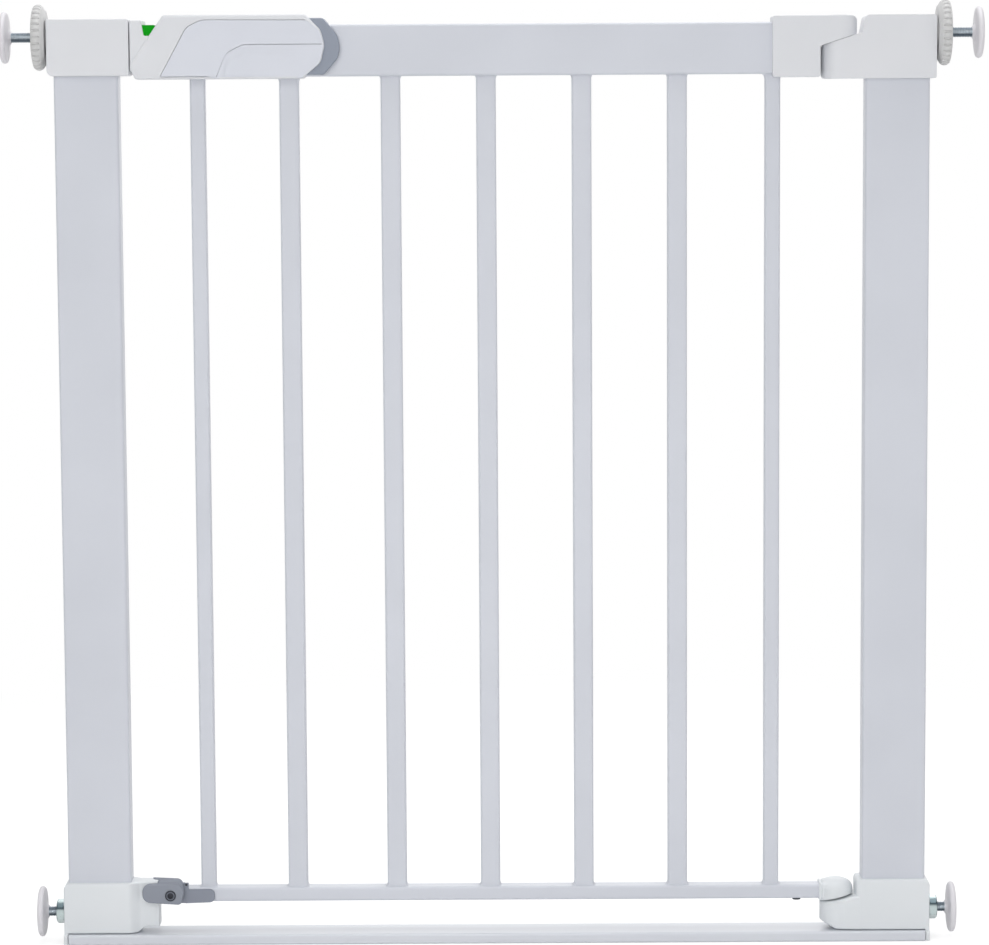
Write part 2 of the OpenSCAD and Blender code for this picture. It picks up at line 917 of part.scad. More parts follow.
// A helical spring along X, swept as a ring of points at each step
module release_spring() {
    sides = 8;
    steps = spring_turns * 16;
    coil_r = (spring_d - wire_d) / 2;
    run = spring_length - wire_d - 0.4;
    rings = [
        for (i = [0:steps])
            let (a = 360 * spring_turns * i / steps, x = spring_x + 0.2 + wire_d / 2 + run * i / steps)
            [
                for (k = [0:sides - 1])
                    let (b = 360 * k / sides, r = coil_r + wire_d / 2 * cos(b))
                    [x + wire_d / 2 * sin(b), r * cos(a), latch_z + r * sin(a)]
            ]
    ];
    color(zinc)
        polyhedron(
            points = [for (ring = rings) each ring],
            faces = concat(
                [[for (k = [0:sides - 1]) k]],
                [[for (k = [sides - 1:-1:0]) steps * sides + k]],
                [
                    for (i = [0:steps - 1], k = [0:sides - 1])
                        let (n = (k + 1) % sides)
                        each [
                            [i * sides + k, (i + 1) * sides + k, i * sides + n],
                            [i * sides + n, (i + 1) * sides + k, (i + 1) * sides + n]
                        ]
                ]
            )
        );
}

module latch_bolt() {
    tip = bolt_depth / 2;
    color(zinc)
        difference() {
            translate([0, 0, latch_z - bolt_height / 2])
                linear_extrude(height = bolt_height)
                    polygon([
                        [bolt_end, -tip],
                        [bolt_end, tip],
                        [bolt_x + 5, tip],
                        [bolt_x, tip - 5],
                        [bolt_x, -tip]
                    ]);
            rod_x(bolt_end - 8, bolt_end + 1, rod_d + 0.04, 0, latch_z);
        }
}

module bolt_rod() {
    color(zinc)
        difference() {
            union() {
                rod_x(bolt_end - 8, cross_pin_x, rod_d, 0, latch_z);
                rod_x(spring_x - 3, spring_x, spring_d + 1, 0, latch_z);
                block(
                    [cross_pin_x - 6, -rod_d / 2, latch_z - 5],
                    [cross_pin_x + 6, rod_d / 2, latch_z + 5]
                );
            }
            rod_y(-rod_d, rod_d, cross_pin_d + 0.04, cross_pin_x, latch_z);
        }
}

module indicator_flag() {
    color("#0aa51e")
        block(
            [flag_x, -handle_in + 0.5, latch_z + bolt_height / 2],
            [flag_x + flag_width, handle_in - 0.5, notch_z - 0.1]
        );
}

module thumb_slider() {
    half = slider_depth / 2;
    low = rail_z + 1.2;
    high = rail_top + 5;
    end = slider_x + slider_length;
    color(grey_plastic)
        difference() {
            along_y(-half, half)
                polygon(soft([
                    [slider_x, low, 1],
                    [end - 14, low, 3],
                    [end - 1.6, low + 14.5, 12],
                    [end, low + 23, 12],
                    [end - 1.8, high - 13, 12],
                    [end - 13, high, 3],
                    [slider_x, high, 1]
                ]));
            block(
                [slider_x - 1, -rail_depth / 2 - 0.3, low - 1],
                [end + 1, rail_depth / 2 + 0.3, rail_top + 0.3]
            );
            rod_y(-half - 1, half + 1, cross_pin_d + 0.04, cross_pin_x, latch_z);
        }
}

module slider_pin() {
    color(zinc)
        rod_y(-slider_depth / 2 + 0.5, slider_depth / 2 - 0.5, cross_pin_d, cross_pin_x, latch_z);
}

module stop_clip() {
    back = low_rail_depth / 2;
    face = -lever_back + 0.3;
    color(grey_plastic)
        difference() {
            union() {
                // the end block in line with the bottom rail, its plug and its tail on the rail's front
                block(
                    [-inner_x + finger_length + 1.8, face, low_rail_z - 0.6],
                    [low_rail_end, back, low_rail_top + 1.5]
                );
                block(
                    [low_rail_end, -back + tube_wall + 0.15, low_rail_z + tube_wall + 0.15],
                    [low_rail_end + 10, back - tube_wall - 0.15, low_rail_top - tube_wall - 0.15]
                );
                along_y(face, -back - 0.1)
                    polygon(soft([
                        [low_rail_end + tail_length, low_rail_z, 4],
                        [low_rail_end + tail_length, low_rail_top - 0.6, 4],
                        [stop_screw_x + lever_radius + 0.5, low_rail_top - 0.6, 0],
                        [stop_screw_x + lever_radius + 0.5, low_rail_z - 0.8, 0]
                    ]));
                block(
                    [low_rail_end - 1, face, low_rail_z - 0.6],
                    [stop_screw_x + lever_radius + 3, -back - 0.1, low_rail_top + 4.6]
                );
            }
            rod_y(-lever_back - 1, back - 2, stop_screw_d + 0.04, stop_screw_x, stop_screw_z);
            rod_y(
                -lever_back - 1, 0, 2.04,
                stop_screw_x + lever_radius + 1.2, low_rail_top + 3.2
            );
        }
}

module stop_screw() {
    color(dark_steel)
        difference() {
            union() {
                rod_y(
                    -lever_back - lever_thickness - 0.3, -lever_back - lever_thickness + 3,
                    stop_screw_head_d, stop_screw_x, stop_screw_z
                );
                rod_y(
                    -lever_back - lever_thickness + 2, low_rail_depth / 2 - 2.2,
                    stop_screw_d, stop_screw_x, stop_screw_z
                );
            }
            translate([stop_screw_x, -lever_back - lever_thickness + 1.5, stop_screw_z])
                rotate([90, 0, 0])
                    cylinder(d = 4.6, h = 4, $fn = 6);
        }
}

module stop_pin() {
    color(dark_steel)
        rod_y(
            -lever_back + 0.1, -low_rail_depth / 2 - 0.5, 2,
            stop_screw_x + lever_radius + 1.2, low_rail_top + 3.2
        );
}

// The lever turns on the stop screw: shut, its lobe lies in front of the frame's finger
module stop_lever() {
    low = -lever_radius + 3.5;
    color(grey_plastic)
        difference() {
            along_y(-lever_back - lever_thickness, -lever_back)
                translate([stop_screw_x, stop_screw_z])
                    polygon(soft([
                        [-lever_reach, low + 2, 7],
                        [lever_radius - 3, low, 3],
                        [lever_radius, 2, 5],
                        [lever_radius - 2, lever_radius + 2, 5],
                        [-14, lever_radius + 3.2, 0.5],
                        [-13, lever_radius + 1.6, 0.5],
                        [-7, lever_radius - 0.6, 1],
                        [-lever_reach, lever_radius - 1.4, 7]
                    ], 6));
            rod_y(
                -lever_back - lever_thickness - 1, -lever_back + 1,
                stop_screw_d + 2 * running, stop_screw_x, stop_screw_z
            );
            rod_y(
                -lever_back - lever_thickness - 1, -lever_back - lever_thickness + 3.3,
                stop_screw_head_d + 0.5, stop_screw_x, stop_screw_z
            );
        }
}

// A turned piece around an axis along X: its profile is [radius, distance back from the wall]
module turned(face, z, profile) {
    translate([face, 0, z])
        rotate([0, -90, 0])
            rotate_extrude($fn = 72)
                polygon(profile);
}

module pad(face, z) {
    bore = spindle_d / 2 + 0.02;
    neck = spindle_d / 2 + 2;
    turned(face, z, soft([
        [0, 0, 0],
        [pad_d / 2, 0, 1.5],
        [pad_d / 2, 4.2, 1.5],
        [neck + 3, 5.6, 2.5],
        [neck, pad_length, 0],
        [bore, pad_length, 0],
        [bore, 4, 0],
        [0, 4, 0]
    ]));
}

module spindle(face, z) {
    rod_x(face - 4 - spindle_length, face - 4, spindle_d, 0, z);
}

module handwheel(z) {
    bore = spindle_d / 2 + running;
    near = outer_x + overhang + 0.3;
    rim = near + 1.2;
    r = wheel_d / 2;
    difference() {
        turned(rim + wheel_width, z, soft([
            [bore, 1.5, 0],
            [spindle_d / 2 + 5, 1.5, 0],
            [spindle_d / 2 + 5, 0, 0],
            [r - 1.5, 0, 1.5],
            [r, wheel_width / 2, 5],
            [r - 1.5, wheel_width, 1.5],
            [spindle_d / 2 + 7, wheel_width, 0],
            [spindle_d / 2 + 7, wheel_width + rim - near, 0],
            [bore, wheel_width + rim - near, 0]
        ]));
        for (i = [0:wheel_grooves - 1])
            translate([rim - 1, 0, z])
                rotate([360 / wheel_grooves * i, 0, 0])
                    translate([0, 0, r + 0.5])
                        rotate([0, 90, 0])
                            cylinder(r = 1.4, h = wheel_width + 2, $fn = 16);
    }
}

module hex_nut(z) {
    near = outer_x + overhang - 1 + 0.3;
    difference() {
        translate([near, 0, z])
            rotate([0, 90, 0])
                cylinder(d = nut_across / cos(30), h = nut_height, $fn = 6);
        rod_x(near - 1, near + nut_height + 1, spindle_d + 2 * running, 0, z);
    }
}

module left_side() {
    mirror([1, 0, 0])
        children();
}

module upper_left_spindle() { color(zinc) left_side() spindle(upper_face, high_spindle_z); }
module upper_left_pad() { color(white_plastic) left_side() pad(upper_face, high_spindle_z); }
module upper_left_handwheel() { color(white_plastic) left_side() handwheel(high_spindle_z); }
module upper_right_spindle() { color(zinc) spindle(upper_face, high_spindle_z); }
module upper_right_pad() { color(white_plastic) pad(upper_face, high_spindle_z); }
module upper_right_handwheel() { color(white_plastic) handwheel(high_spindle_z); }
module lower_left_spindle() { color(zinc) left_side() spindle(lower_face, low_spindle_z); }
module lower_left_pad() { color(white_plastic) left_side() pad(lower_face, low_spindle_z); }
module lower_left_nut() { color(zinc) left_side() hex_nut(low_spindle_z); }
module lower_right_spindle() { color(zinc) spindle(lower_face, low_spindle_z); }
module lower_right_pad() { color(white_plastic) pad(lower_face, low_spindle_z); }
module lower_right_nut() { color(zinc) hex_nut(low_spindle_z); }

left_upright();
right_upright();
threshold_rail();
catch_housing();
strike_plate();
hinge_housing();
hinge_bush();
left_foot_housing();
right_foot_housing();
pivot_bush();
housing_screws();
upper_hinge_pin();
top_rail();
bottom_rail();
bar(1);  // bar_1
bar(2);  // bar_2
bar(3);  // bar_3
bar(4);  // bar_4
bar(5);  // bar_5
bar(6);  // bar_6
bar(7);  // bar_7
leaf_knuckle();
hinge_cap();
leaf_foot();
lower_pivot_pin();
foot_screw();
handle_front();
handle_back();
handle_cover();
grip_panel();
handle_screws();
rail_plug();
spring_stop();
release_spring();
stop_clip();
stop_screw();
stop_pin();
stop_lever();
latch_bolt();
bolt_rod();
indicator_flag();
thumb_slider();
slider_pin();
upper_left_spindle();
upper_left_pad();
upper_left_handwheel();
upper_right_spindle();
upper_right_pad();
upper_right_handwheel();
lower_left_spindle();
lower_left_pad();
lower_left_nut();
lower_right_spindle();
lower_right_pad();
lower_right_nut();
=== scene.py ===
import json
import math

import bmesh
import bpy
import numpy as np
from mathutils import Matrix, Vector


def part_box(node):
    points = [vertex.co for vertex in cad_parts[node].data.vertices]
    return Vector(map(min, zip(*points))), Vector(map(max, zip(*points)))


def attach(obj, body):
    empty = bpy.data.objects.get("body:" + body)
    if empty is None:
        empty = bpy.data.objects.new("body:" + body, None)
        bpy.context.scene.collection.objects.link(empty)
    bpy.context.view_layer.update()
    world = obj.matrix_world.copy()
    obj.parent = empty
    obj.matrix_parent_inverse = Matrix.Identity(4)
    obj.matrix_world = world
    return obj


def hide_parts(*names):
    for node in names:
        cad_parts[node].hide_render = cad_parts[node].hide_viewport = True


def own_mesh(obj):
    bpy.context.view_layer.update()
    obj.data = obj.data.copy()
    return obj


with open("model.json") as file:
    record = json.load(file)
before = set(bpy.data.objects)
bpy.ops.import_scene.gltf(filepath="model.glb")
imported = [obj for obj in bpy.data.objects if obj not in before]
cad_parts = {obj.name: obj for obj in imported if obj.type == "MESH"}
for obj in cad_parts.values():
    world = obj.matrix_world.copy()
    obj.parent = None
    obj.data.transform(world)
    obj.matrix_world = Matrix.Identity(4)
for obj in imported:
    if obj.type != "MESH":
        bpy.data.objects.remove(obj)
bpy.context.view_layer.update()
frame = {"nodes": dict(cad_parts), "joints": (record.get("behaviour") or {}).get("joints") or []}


# ---------------------------------------------------------------------------
# The studio: a camera just under the height of the top rail, almost square on
# to the gate, a pale floor that runs off into white, and broad soft lamps that
# leave a painted surface about as light as its paint is mixed.

def aim(place, heading, dip, roll):
    """The world matrix of something at place that looks along heading (from +Y towards +X), dips below
    level and is turned about its line of sight by roll, all in degrees.
    """
    h, d, r = (math.radians(a) for a in (heading, dip, roll))
    forward = Vector((math.sin(h) * math.cos(d), math.cos(h) * math.cos(d), -math.sin(d)))
    right = forward.cross(Vector((0, 0, 1))).normalized()
    up = right.cross(forward)
    right, up = right * math.cos(r) + up * math.sin(r), up * math.cos(r) - right * math.sin(r)
    m = Matrix((right, up, -forward)).transposed().to_4x4()
    m.translation = place
    return m


lens = bpy.data.cameras.new("studio_camera")
lens.sensor_width = 36
lens.lens = 127.4
lens.clip_start = 0.05
camera = bpy.data.objects.new("studio_camera", lens)
camera.matrix_world = aim(place=(0.0078, -2.7411, 0.6605), heading=-0.156, dip=5.959, roll=-0.341)
bpy.context.scene.collection.objects.link(camera)
bpy.context.scene.camera = camera
bpy.context.scene.view_settings.view_transform = "Standard"


def softbox(name, place, target, size, watts):
    """A square area lamp at place that faces target."""
    lamp = bpy.data.lights.new(name, "AREA")
    lamp.shape = "SQUARE"
    lamp.size = size
    lamp.energy = watts
    thing = bpy.data.objects.new(name, lamp)
    way = Vector(target) - Vector(place)
    thing.matrix_world = Matrix.Translation(place) @ way.to_track_quat("-Z", "Y").to_matrix().to_4x4()
    bpy.context.scene.collection.objects.link(thing)


softbox("front_lamp", (-1.1, -3.2, 1.7), (0, 0, 0.3), 2.4, 33)
softbox("top_lamp", (0.2, 0.15, 2.9), (0, 0, 0.0), 2.2, 42)
softbox("side_lamp", (2.6, -2.0, 1.0), (0, 0, 0.3), 1.6, 7)
softbox("back_lamp", (0.6, 3.2, 1.6), (0, 0, 0.3), 2.4, 16)
softbox("low_lamp", (0.0, -1.5, 0.05), (0, 0, 0.05), 0.3, 3.6)


class Signal:
    """A shader socket that takes part in sums as a number does, each operator adding its Math node."""

    def __init__(self, finish, socket):
        self.finish = finish
        self.socket = socket

    def sum_with(self, operation, a, b):
        return self.finish.node("ShaderNodeMath", {"operation": operation}, [a, b])

    def __add__(self, other):
        return self.sum_with("ADD", self, other)

    def __radd__(self, other):
        return self.sum_with("ADD", other, self)

    def __sub__(self, other):
        return self.sum_with("SUBTRACT", self, other)

    def __rsub__(self, other):
        return self.sum_with("SUBTRACT", other, self)

    def __mul__(self, other):
        return self.sum_with("MULTIPLY", self, other)

    def __rmul__(self, other):
        return self.sum_with("MULTIPLY", other, self)

    def either(self, other):
        return self.sum_with("MAXIMUM", self, other)


class Finish:
    """A material under construction, or the world if it is given as the owner. node() adds one node: its
    settings first, then the values or links of its sockets.
    """

    def __init__(self, name, owner=None):
        self.material = owner or bpy.data.materials.new(name)
        self.material.use_nodes = True
        self.tree = self.material.node_tree
        self.tree.nodes.clear()

    def node(self, kind, settings=None, inputs=(), output=0):
        made = self.tree.nodes.new(kind)
        for key, value in (settings or {}).items():
            if key == "stops":
                ramp = made.color_ramp.elements
                for i, (at, level) in enumerate(value):
                    stop = ramp[i] if i < len(ramp) else ramp.new(at)
                    stop.position = at
                    stop.color = (level, level, level, 1)
            else:
                setattr(made, key, value)
        for key, value in inputs.items() if isinstance(inputs, dict) else enumerate(inputs):
            if isinstance(value, Signal):
                self.tree.links.new(value.socket, made.inputs[key])
            else:
                made.inputs[key].default_value = value
        return Signal(self, made.outputs[output]) if len(made.outputs) else None

    def blend(self, factor, first, second):
        """A colour between first and second."""
        return self.node("ShaderNodeMix", {"data_type": "RGBA"}, {0: factor, 6: first, 7: second}, 2)

    def on_view(self):
        """1 for rays from the eye, off gloss or through clear pieces, and 0 for all other light."""
        rays = [
            self.node("ShaderNodeLightPath", output=o)
            for o in ("Is Camera Ray", "Is Glossy Ray", "Is Transmission Ray")
        ]
        return rays[0].either(rays[1]).either(rays[2])

    def close(self, surface):
        self.node("ShaderNodeOutputMaterial", inputs={"Surface": surface})
        return self.material


def shown(red, green, blue):
    """The linear colour of a surface that looks (red, green, blue), out of 255, in plain light."""
    return tuple(
        c / 12.92 if c <= 0.04045 else ((c + 0.055) / 1.055) ** 2.4
        for c in (red / 255, green / 255, blue / 255)
    ) + (1.0,)


def pale_floor():
    """White to the eye and in reflections, with a matt layer near the gate that takes its shadow; the rest
    of the light sees a matt floor that sends it back up.
    """
    f = Finish("pale_floor")
    seen = f.on_view()
    place = f.node("ShaderNodeTexCoord", output="Object")
    far = f.node("ShaderNodeVectorMath", {"operation": "LENGTH"}, [place], "Value")
    fade = f.node(
        "ShaderNodeMapRange", {"interpolation_type": "SMOOTHSTEP"},
        {0: far, 1: 0.45, 2: 1.3, 3: 0.0, 4: 1.0}
    )
    matt = f.node("ShaderNodeBsdfDiffuse", inputs={"Color": (0.42, 0.42, 0.42, 1), "Roughness": 0.5})
    lift = f.node("ShaderNodeEmission", inputs={"Color": (1, 1, 1, 1), "Strength": 0.72})
    plain = f.node("ShaderNodeEmission", inputs={"Color": (1, 1, 1, 1), "Strength": 1.0})
    near = f.node("ShaderNodeAddShader", inputs=[matt, lift])
    shown_floor = f.node("ShaderNodeMixShader", inputs=[fade, near, plain])
    bounce = f.node("ShaderNodeBsdfDiffuse", inputs={"Color": (0.85, 0.85, 0.85, 1), "Roughness": 0.5})
    return f.close(f.node("ShaderNodeMixShader", inputs=[seen, bounce, shown_floor]))


sheet = bpy.data.meshes.new("studio_floor")
sheet.from_pydata([(-9, -7, 0), (9, -7, 0), (9, 12, 0), (-9, 12, 0)], [], [(0, 1, 2, 3)])
sheet.materials.append(pale_floor())
floor = bpy.data.objects.new("studio_floor", sheet)
bpy.context.scene.collection.objects.link(floor)

sky = bpy.data.worlds.new("studio_sky")
bpy.context.scene.world = sky
dome = Finish("studio_sky", sky)
lit = 0.42  # the sky's strength for diffuse light; to the eye and in reflections it is white
level = lit + (1 - lit) * dome.on_view()
glow = dome.node("ShaderNodeBackground", inputs={"Color": (1, 1, 1, 1), "Strength": level})
dome.node("ShaderNodeOutputWorld", inputs={"Surface": glow})


# ---------------------------------------------------------------------------
# The fixed U of the gate: two uprights of drawn steel tube and a flat
# threshold tube between them, powder coated in a cool white whose skin is
# satin and very slightly pitted, like the peel of an orange.

def dress(material, *nodes):
    """Gives every face of some nodes one material."""
    for node in nodes:
        mesh = frame["nodes"][node].data
        mesh.materials.clear()
        mesh.materials.append(material)
        mesh.polygons.foreach_set("material_index", np.zeros(len(mesh.polygons), np.int32))


def skin(name, colour, shade, roughness, grain, depth, cloud=0.09, metallic=0.0, specular=0.5):
    """A finish whose colour drifts between colour and shade over broad clouds, and whose skin has fine pits
    grain metres across and depth metres deep.
    """
    f = Finish(name)
    place = f.node("ShaderNodeTexCoord", output="Object")
    broad = f.node("ShaderNodeTexNoise", inputs={"Vector": place, "Scale": 1 / cloud, "Detail": 2.0})
    fine = f.node(
        "ShaderNodeTexNoise", inputs={"Vector": place, "Scale": 1 / grain, "Detail": 3.0, "Roughness": 0.6}
    )
    patch = f.node("ShaderNodeValToRGB", {"stops": [(0.35, 0.0), (0.65, 1.0)]}, {"Fac": broad})
    bump = f.node("ShaderNodeBump", inputs={"Strength": 1.0, "Distance": depth, "Height": fine})
    return f.close(f.node("ShaderNodeBsdfPrincipled", inputs={
        "Base Color": f.blend(patch * 0.75 + fine * 0.25, colour, shade),
        "Roughness": roughness - 0.06 + 0.12 * fine,
        "Metallic": metallic,
        "Specular IOR Level": specular,
        "Normal": bump,
    }))


powder_coat = skin("powder_coat", shown(208, 211, 219), shown(203, 206, 214), 0.42, 0.0011, 0.000018)
dress(powder_coat, "left_upright", "right_upright")

# the threshold has the same paint as the uprights, but its colour is written a little lighter: painted
# light standing in for the light its top face catches from above; its lower roughness gives it a real sheen
lightened_threshold_coat = skin(
    "lightened_threshold_coat", shown(213, 216, 222), shown(209, 212, 219), 0.34, 0.0011, 0.0000015, specular=0.55
)
dress(lightened_threshold_coat, "threshold_rail")


# ---------------------------------------------------------------------------
# The corner housings at the top: glass-filled white plastic mouldings that cap
# the uprights. The catch housing on the left takes the bolt, the hinge housing
# on the right carries the leaf on a sloping ramp. Their outer edges are eased.

def eased(node, width, where, material, body="frame"):
    """A copy of a node's mesh, its doubles merged and its flat faces joined, with a rounding along its
    edges: width times what where() gives for the edge's middle.
    """
    work = bmesh.new()
    work.from_mesh(frame["nodes"][node].data)
    bmesh.ops.remove_doubles(work, verts=work.verts, dist=2e-6)
    bmesh.ops.dissolve_limit(work, angle_limit=math.radians(1), verts=work.verts, edges=work.edges)
    bend = np.array([e.calc_face_angle(0.0) for e in work.edges])
    mesh = bpy.data.meshes.new(node + "_moulding")
    work.to_mesh(mesh)
    work.free()
    co = np.empty(len(mesh.vertices) * 3)
    mesh.vertices.foreach_get("co", co)
    ends = np.empty(len(mesh.edges) * 2, np.int64)
    mesh.edges.foreach_get("vertices", ends)
    middle = co.reshape(-1, 3)[ends.reshape(-1, 2)].mean(1)
    weight = (bend > 0.6) * where(*middle.T)
    bevel = mesh.attributes.new("bevel_weight_edge", "FLOAT", "EDGE")
    bevel.data.foreach_set("value", weight.astype(np.float32))
    mesh.shade_smooth()
    mesh.set_sharp_from_angle(angle=math.radians(32))
    mesh.materials.clear()
    mesh.materials.append(material)
    piece = bpy.data.objects.new(node + "_moulding", mesh)
    bpy.context.scene.collection.objects.link(piece)
    ease = piece.modifiers.new("eased_edges", "BEVEL")
    ease.limit_method = "WEIGHT"
    ease.width = width
    ease.segments = 4
    ease.harden_normals = True
    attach(piece, body)
    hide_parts(node)
    return piece


white_moulding = skin("white_moulding", shown(220, 221, 225), shown(215, 217, 221), 0.46, 0.0006, 0.00001)
hinge_x = 0.270
eased("catch_housing", 0.0013, lambda x, y, z: abs(y) > 0.0155, white_moulding)


def outside(x, y, z, way):
    """1 along the edges that a hand can touch: those of the front and back faces, and those round the pin
    on the knuckle's round side, way. The edges of the ramp are crisper.
    """
    ramp_level, ramp_slope, face_level, round_radius = 0.7111, 0.32, 0.0132, 0.0135
    rim = (way * (x - hinge_x) > 0) & (abs(np.hypot(x - hinge_x, y) - round_radius) < 0.001)
    ramp = abs(z - ramp_level - ramp_slope * (x - hinge_x)) < 0.0009
    return ((abs(y) > face_level) | rim) * np.where(ramp, 0.3, 1.0)


eased("hinge_housing", 0.0017, lambda x, y, z: outside(x, y, z, -1), white_moulding)
zinc_strike = skin(
    "zinc_strike", shown(186, 192, 197), shown(166, 173, 180), 0.34, 0.0015, 0.000004, metallic=1.0
)
dress(zinc_strike, "strike_plate")
bush_moulding = skin("bush_moulding", shown(205, 206, 206), shown(199, 200, 200), 0.5, 0.0006, 0.00001)
dress(bush_moulding, "hinge_bush", "pivot_bush")


# ---------------------------------------------------------------------------
# The foot housings: white mouldings that slip over the uprights and stand on
# the threshold. The left one necks down to the finger that the stop lever
# grips, the right one ends in the round seat of the lower pivot.

def made(name, shells, material, slot_name, body, replaced, ends=(True, True)):
    """One piece from shells, each a grid of points (rows, columns, 3) whose neighbours are joined by quads,
    the last column to the first. ends tells whether a first and a last row are closed with a flat face, one
    pair for all shells or one for each; rows left open that share a level of Y are joined by a flat face
    between them.
    """
    points, quads, caps, start = [], [], [], 0
    ends = [ends] * len(shells) if isinstance(ends[0], bool) else ends
    for grid, (first, last) in zip(shells, ends):
        rows, cols = grid.shape[:2]
        index = start + np.arange(rows * cols).reshape(rows, cols)
        after = np.roll(index, -1, axis=1)
        quads.append(np.stack([index[:-1], after[:-1], after[1:], index[1:]], -1).reshape(-1, 4))
        caps += [index[0, ::-1].tolist()] * first + [index[-1].tolist()] * last
        points.append(grid.reshape(-1, 3))
        start += rows * cols
    mesh = bpy.data.meshes.new(name)
    mesh.from_pydata(np.concatenate(points).tolist(), [], np.concatenate(quads).tolist() + caps)
    work = bmesh.new()
    work.from_mesh(mesh)
    bmesh.ops.remove_doubles(work, verts=work.verts, dist=1e-6)
    bmesh.ops.dissolve_degenerate(work, edges=work.edges, dist=1e-7)
    rims = [(round(sum(v.co.y for v in e.verts) / 2, 5), e) for e in work.edges if e.is_boundary]
    for level in sorted({y for y, _ in rims}):
        bmesh.ops.triangle_fill(work, edges=[e for y, e in rims if y == level], use_beauty=True)
    bmesh.ops.recalc_face_normals(work, faces=work.faces)
    work.to_mesh(mesh)
    work.free()
    sides = np.empty(len(mesh.polygons), np.int32)
    mesh.polygons.foreach_get("loop_total", sides)
    mesh.polygons.foreach_set("use_smooth", sides < 5)
    mesh.set_sharp_from_angle(angle=math.radians(38))
    mesh.materials.append(material)
    piece = bpy.data.objects.new(name, mesh)
    bpy.context.scene.collection.objects.link(piece)
    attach(piece, body)
    if replaced:
        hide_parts(*replaced)
    return piece


def box_rows(x, half, low, high, radius):
    """Rounded rectangles across Y and Z, one for each x: half is the half depth, low and high the levels,
    and each corner is a quarter circle of at most radius.
    """
    r = np.minimum(np.minimum(radius, half), (high - low) / 2) * 0.999
    turn = np.radians(np.linspace(0, 90, 6))
    y, z = [], []
    for sy, sz, a in ((1, 1, 0), (-1, 1, 90), (-1, -1, 180), (1, -1, 270)):
        cy = sy * (half - r)
        cz = np.where(sz > 0, high - r, low + r)
        y.append(cy[:, None] + r[:, None] * np.cos(turn + math.radians(a)))
        z.append(cz[:, None] + r[:, None] * np.sin(turn + math.radians(a)))
    y, z = np.concatenate(y, 1), np.concatenate(z, 1)
    return np.stack([np.broadcast_to(x[:, None], y.shape), y, z], -1)


def ended(x, x0, x1, ease):
    """How far a section has drawn in at x so that both ends, at x0 and x1, have edges of radius ease: a
    quarter circle's fall at each end.
    """
    gap = np.clip(np.minimum(x - x0, x1 - x), 0, ease)
    return ease - np.sqrt(np.maximum(ease**2 - (ease - gap) ** 2, 0))


def smooth(x, a, b):
    """0 up to a, 1 from b, and an even S between them."""
    t = np.clip((x - a) / (b - a), 0, 1)
    return t * t * (3 - 2 * t)


def arch(x, x_end, radius):
    """The fall of a rounded corner of radius that ends at x_end, as a quarter circle."""
    gap = np.clip(abs(x_end - x), 0, radius)
    return radius - np.sqrt(np.maximum(radius**2 - (radius - gap) ** 2, 0))


foot_moulding = skin("foot_moulding", shown(225, 228, 231), shown(220, 224, 227), 0.46, 0.0006, 0.00001)
wall_end, upright_end = 0.3436, 0.3402
foot_top, foot_low, foot_half = 0.0495, 0.0091, 0.014
near_wall = wall_end - 0.005 * (1 - np.cos(np.linspace(0, np.pi / 2, 12)))
# the lip of each housing that closes the threshold's open end, flush with its front
lip_start, lip_half, lip_low, lip_high, lip_ease = 0.3406, 0.0171, 0.0006, 0.0085, 0.0008
x = np.linspace(lip_start, wall_end, 14)
lip = box_rows(
    x, lip_half - ended(x, lip_start, wall_end, lip_ease), lip_low + 0 * x, lip_high + 0 * x, lip_ease
)

# the latch side, from the wall inwards to the end of its finger
finger_end = -0.2683
x = np.concatenate([
    -near_wall, [-upright_end - 1e-5, -upright_end], np.linspace(-0.338, -0.296, 9),
    np.linspace(-0.294, -0.274, 30), finger_end - 0.002 * np.cos(np.linspace(0, np.pi / 2, 8)),
])
x = np.sort(x)
inside = ended(x, -wall_end, finger_end, 0.0009)
half = foot_half - 0.005 * smooth(x, -0.2925, -0.2825) - inside
high = foot_top - np.where(x < -0.31, arch(x, -wall_end, 0.005), arch(x, finger_end, 0.002))
low = np.where(x < -upright_end - 5e-6, 0.0005 + inside, foot_low + 0.0044 * smooth(x, -0.2862, -0.2785))
made(
    "left_foot_shell", [box_rows(x, half, low, high, 0.0013), lip * (-1, 1, 1)], foot_moulding,
    "white_plastic", "frame", ["left_foot_housing"]
)

# the hinge side: a low block whose seat falls away around the pivot, and the housing that rises behind a
# rounded step
seat_radius, seat_level, seat_slope, step_x, block_end = 0.0126, 0.0326, 0.22, 0.2852, 0.2893
x = np.concatenate([
    hinge_x - seat_radius * np.cos(np.linspace(0, np.pi / 2, 20)), np.linspace(0.2708, block_end, 20)
])
round_half = np.sqrt(np.maximum(seat_radius**2 - np.minimum(x - hinge_x, 0) ** 2, 1e-10))
half = round_half + 0.0014 * smooth(x, hinge_x, hinge_x + 0.009)
high = seat_level + seat_slope * np.minimum(x - hinge_x, step_x - hinge_x)
rise = 0.0062 * np.clip((hinge_x - x) / seat_radius, 0, 1)
block = box_rows(x, half, foot_low + rise, high, 0.0013 + 0.0006 * (1 - smooth(x, 0.280, step_x)))
x = np.sort(
    np.concatenate([
        step_x + 0.004 * (1 - np.cos(np.linspace(0, np.pi / 2, 14))), np.linspace(0.2900, 0.338, 8),
        [upright_end, upright_end + 1e-5], near_wall
    ])
)
inside = ended(x, -1, wall_end, 0.0009)
half = foot_half - arch(x, step_x, 0.004) * (x < 0.3) - inside
high = foot_top - np.where(x < 0.3, arch(x, step_x, 0.003), arch(x, wall_end, 0.005))
low = np.where(x > upright_end + 5e-6, 0.0005 + inside, foot_low)
body = box_rows(x, half, low, high, 0.0013)
made(
    "right_foot_shell", [block, body, lip], foot_moulding, "white_plastic", "frame", ["right_foot_housing"]
)


# ---------------------------------------------------------------------------
# The leaf: two steel rails and seven bars, welded and powder coated like the
# frame. Each bar sits in a small weld that the powder has softened to a fillet.

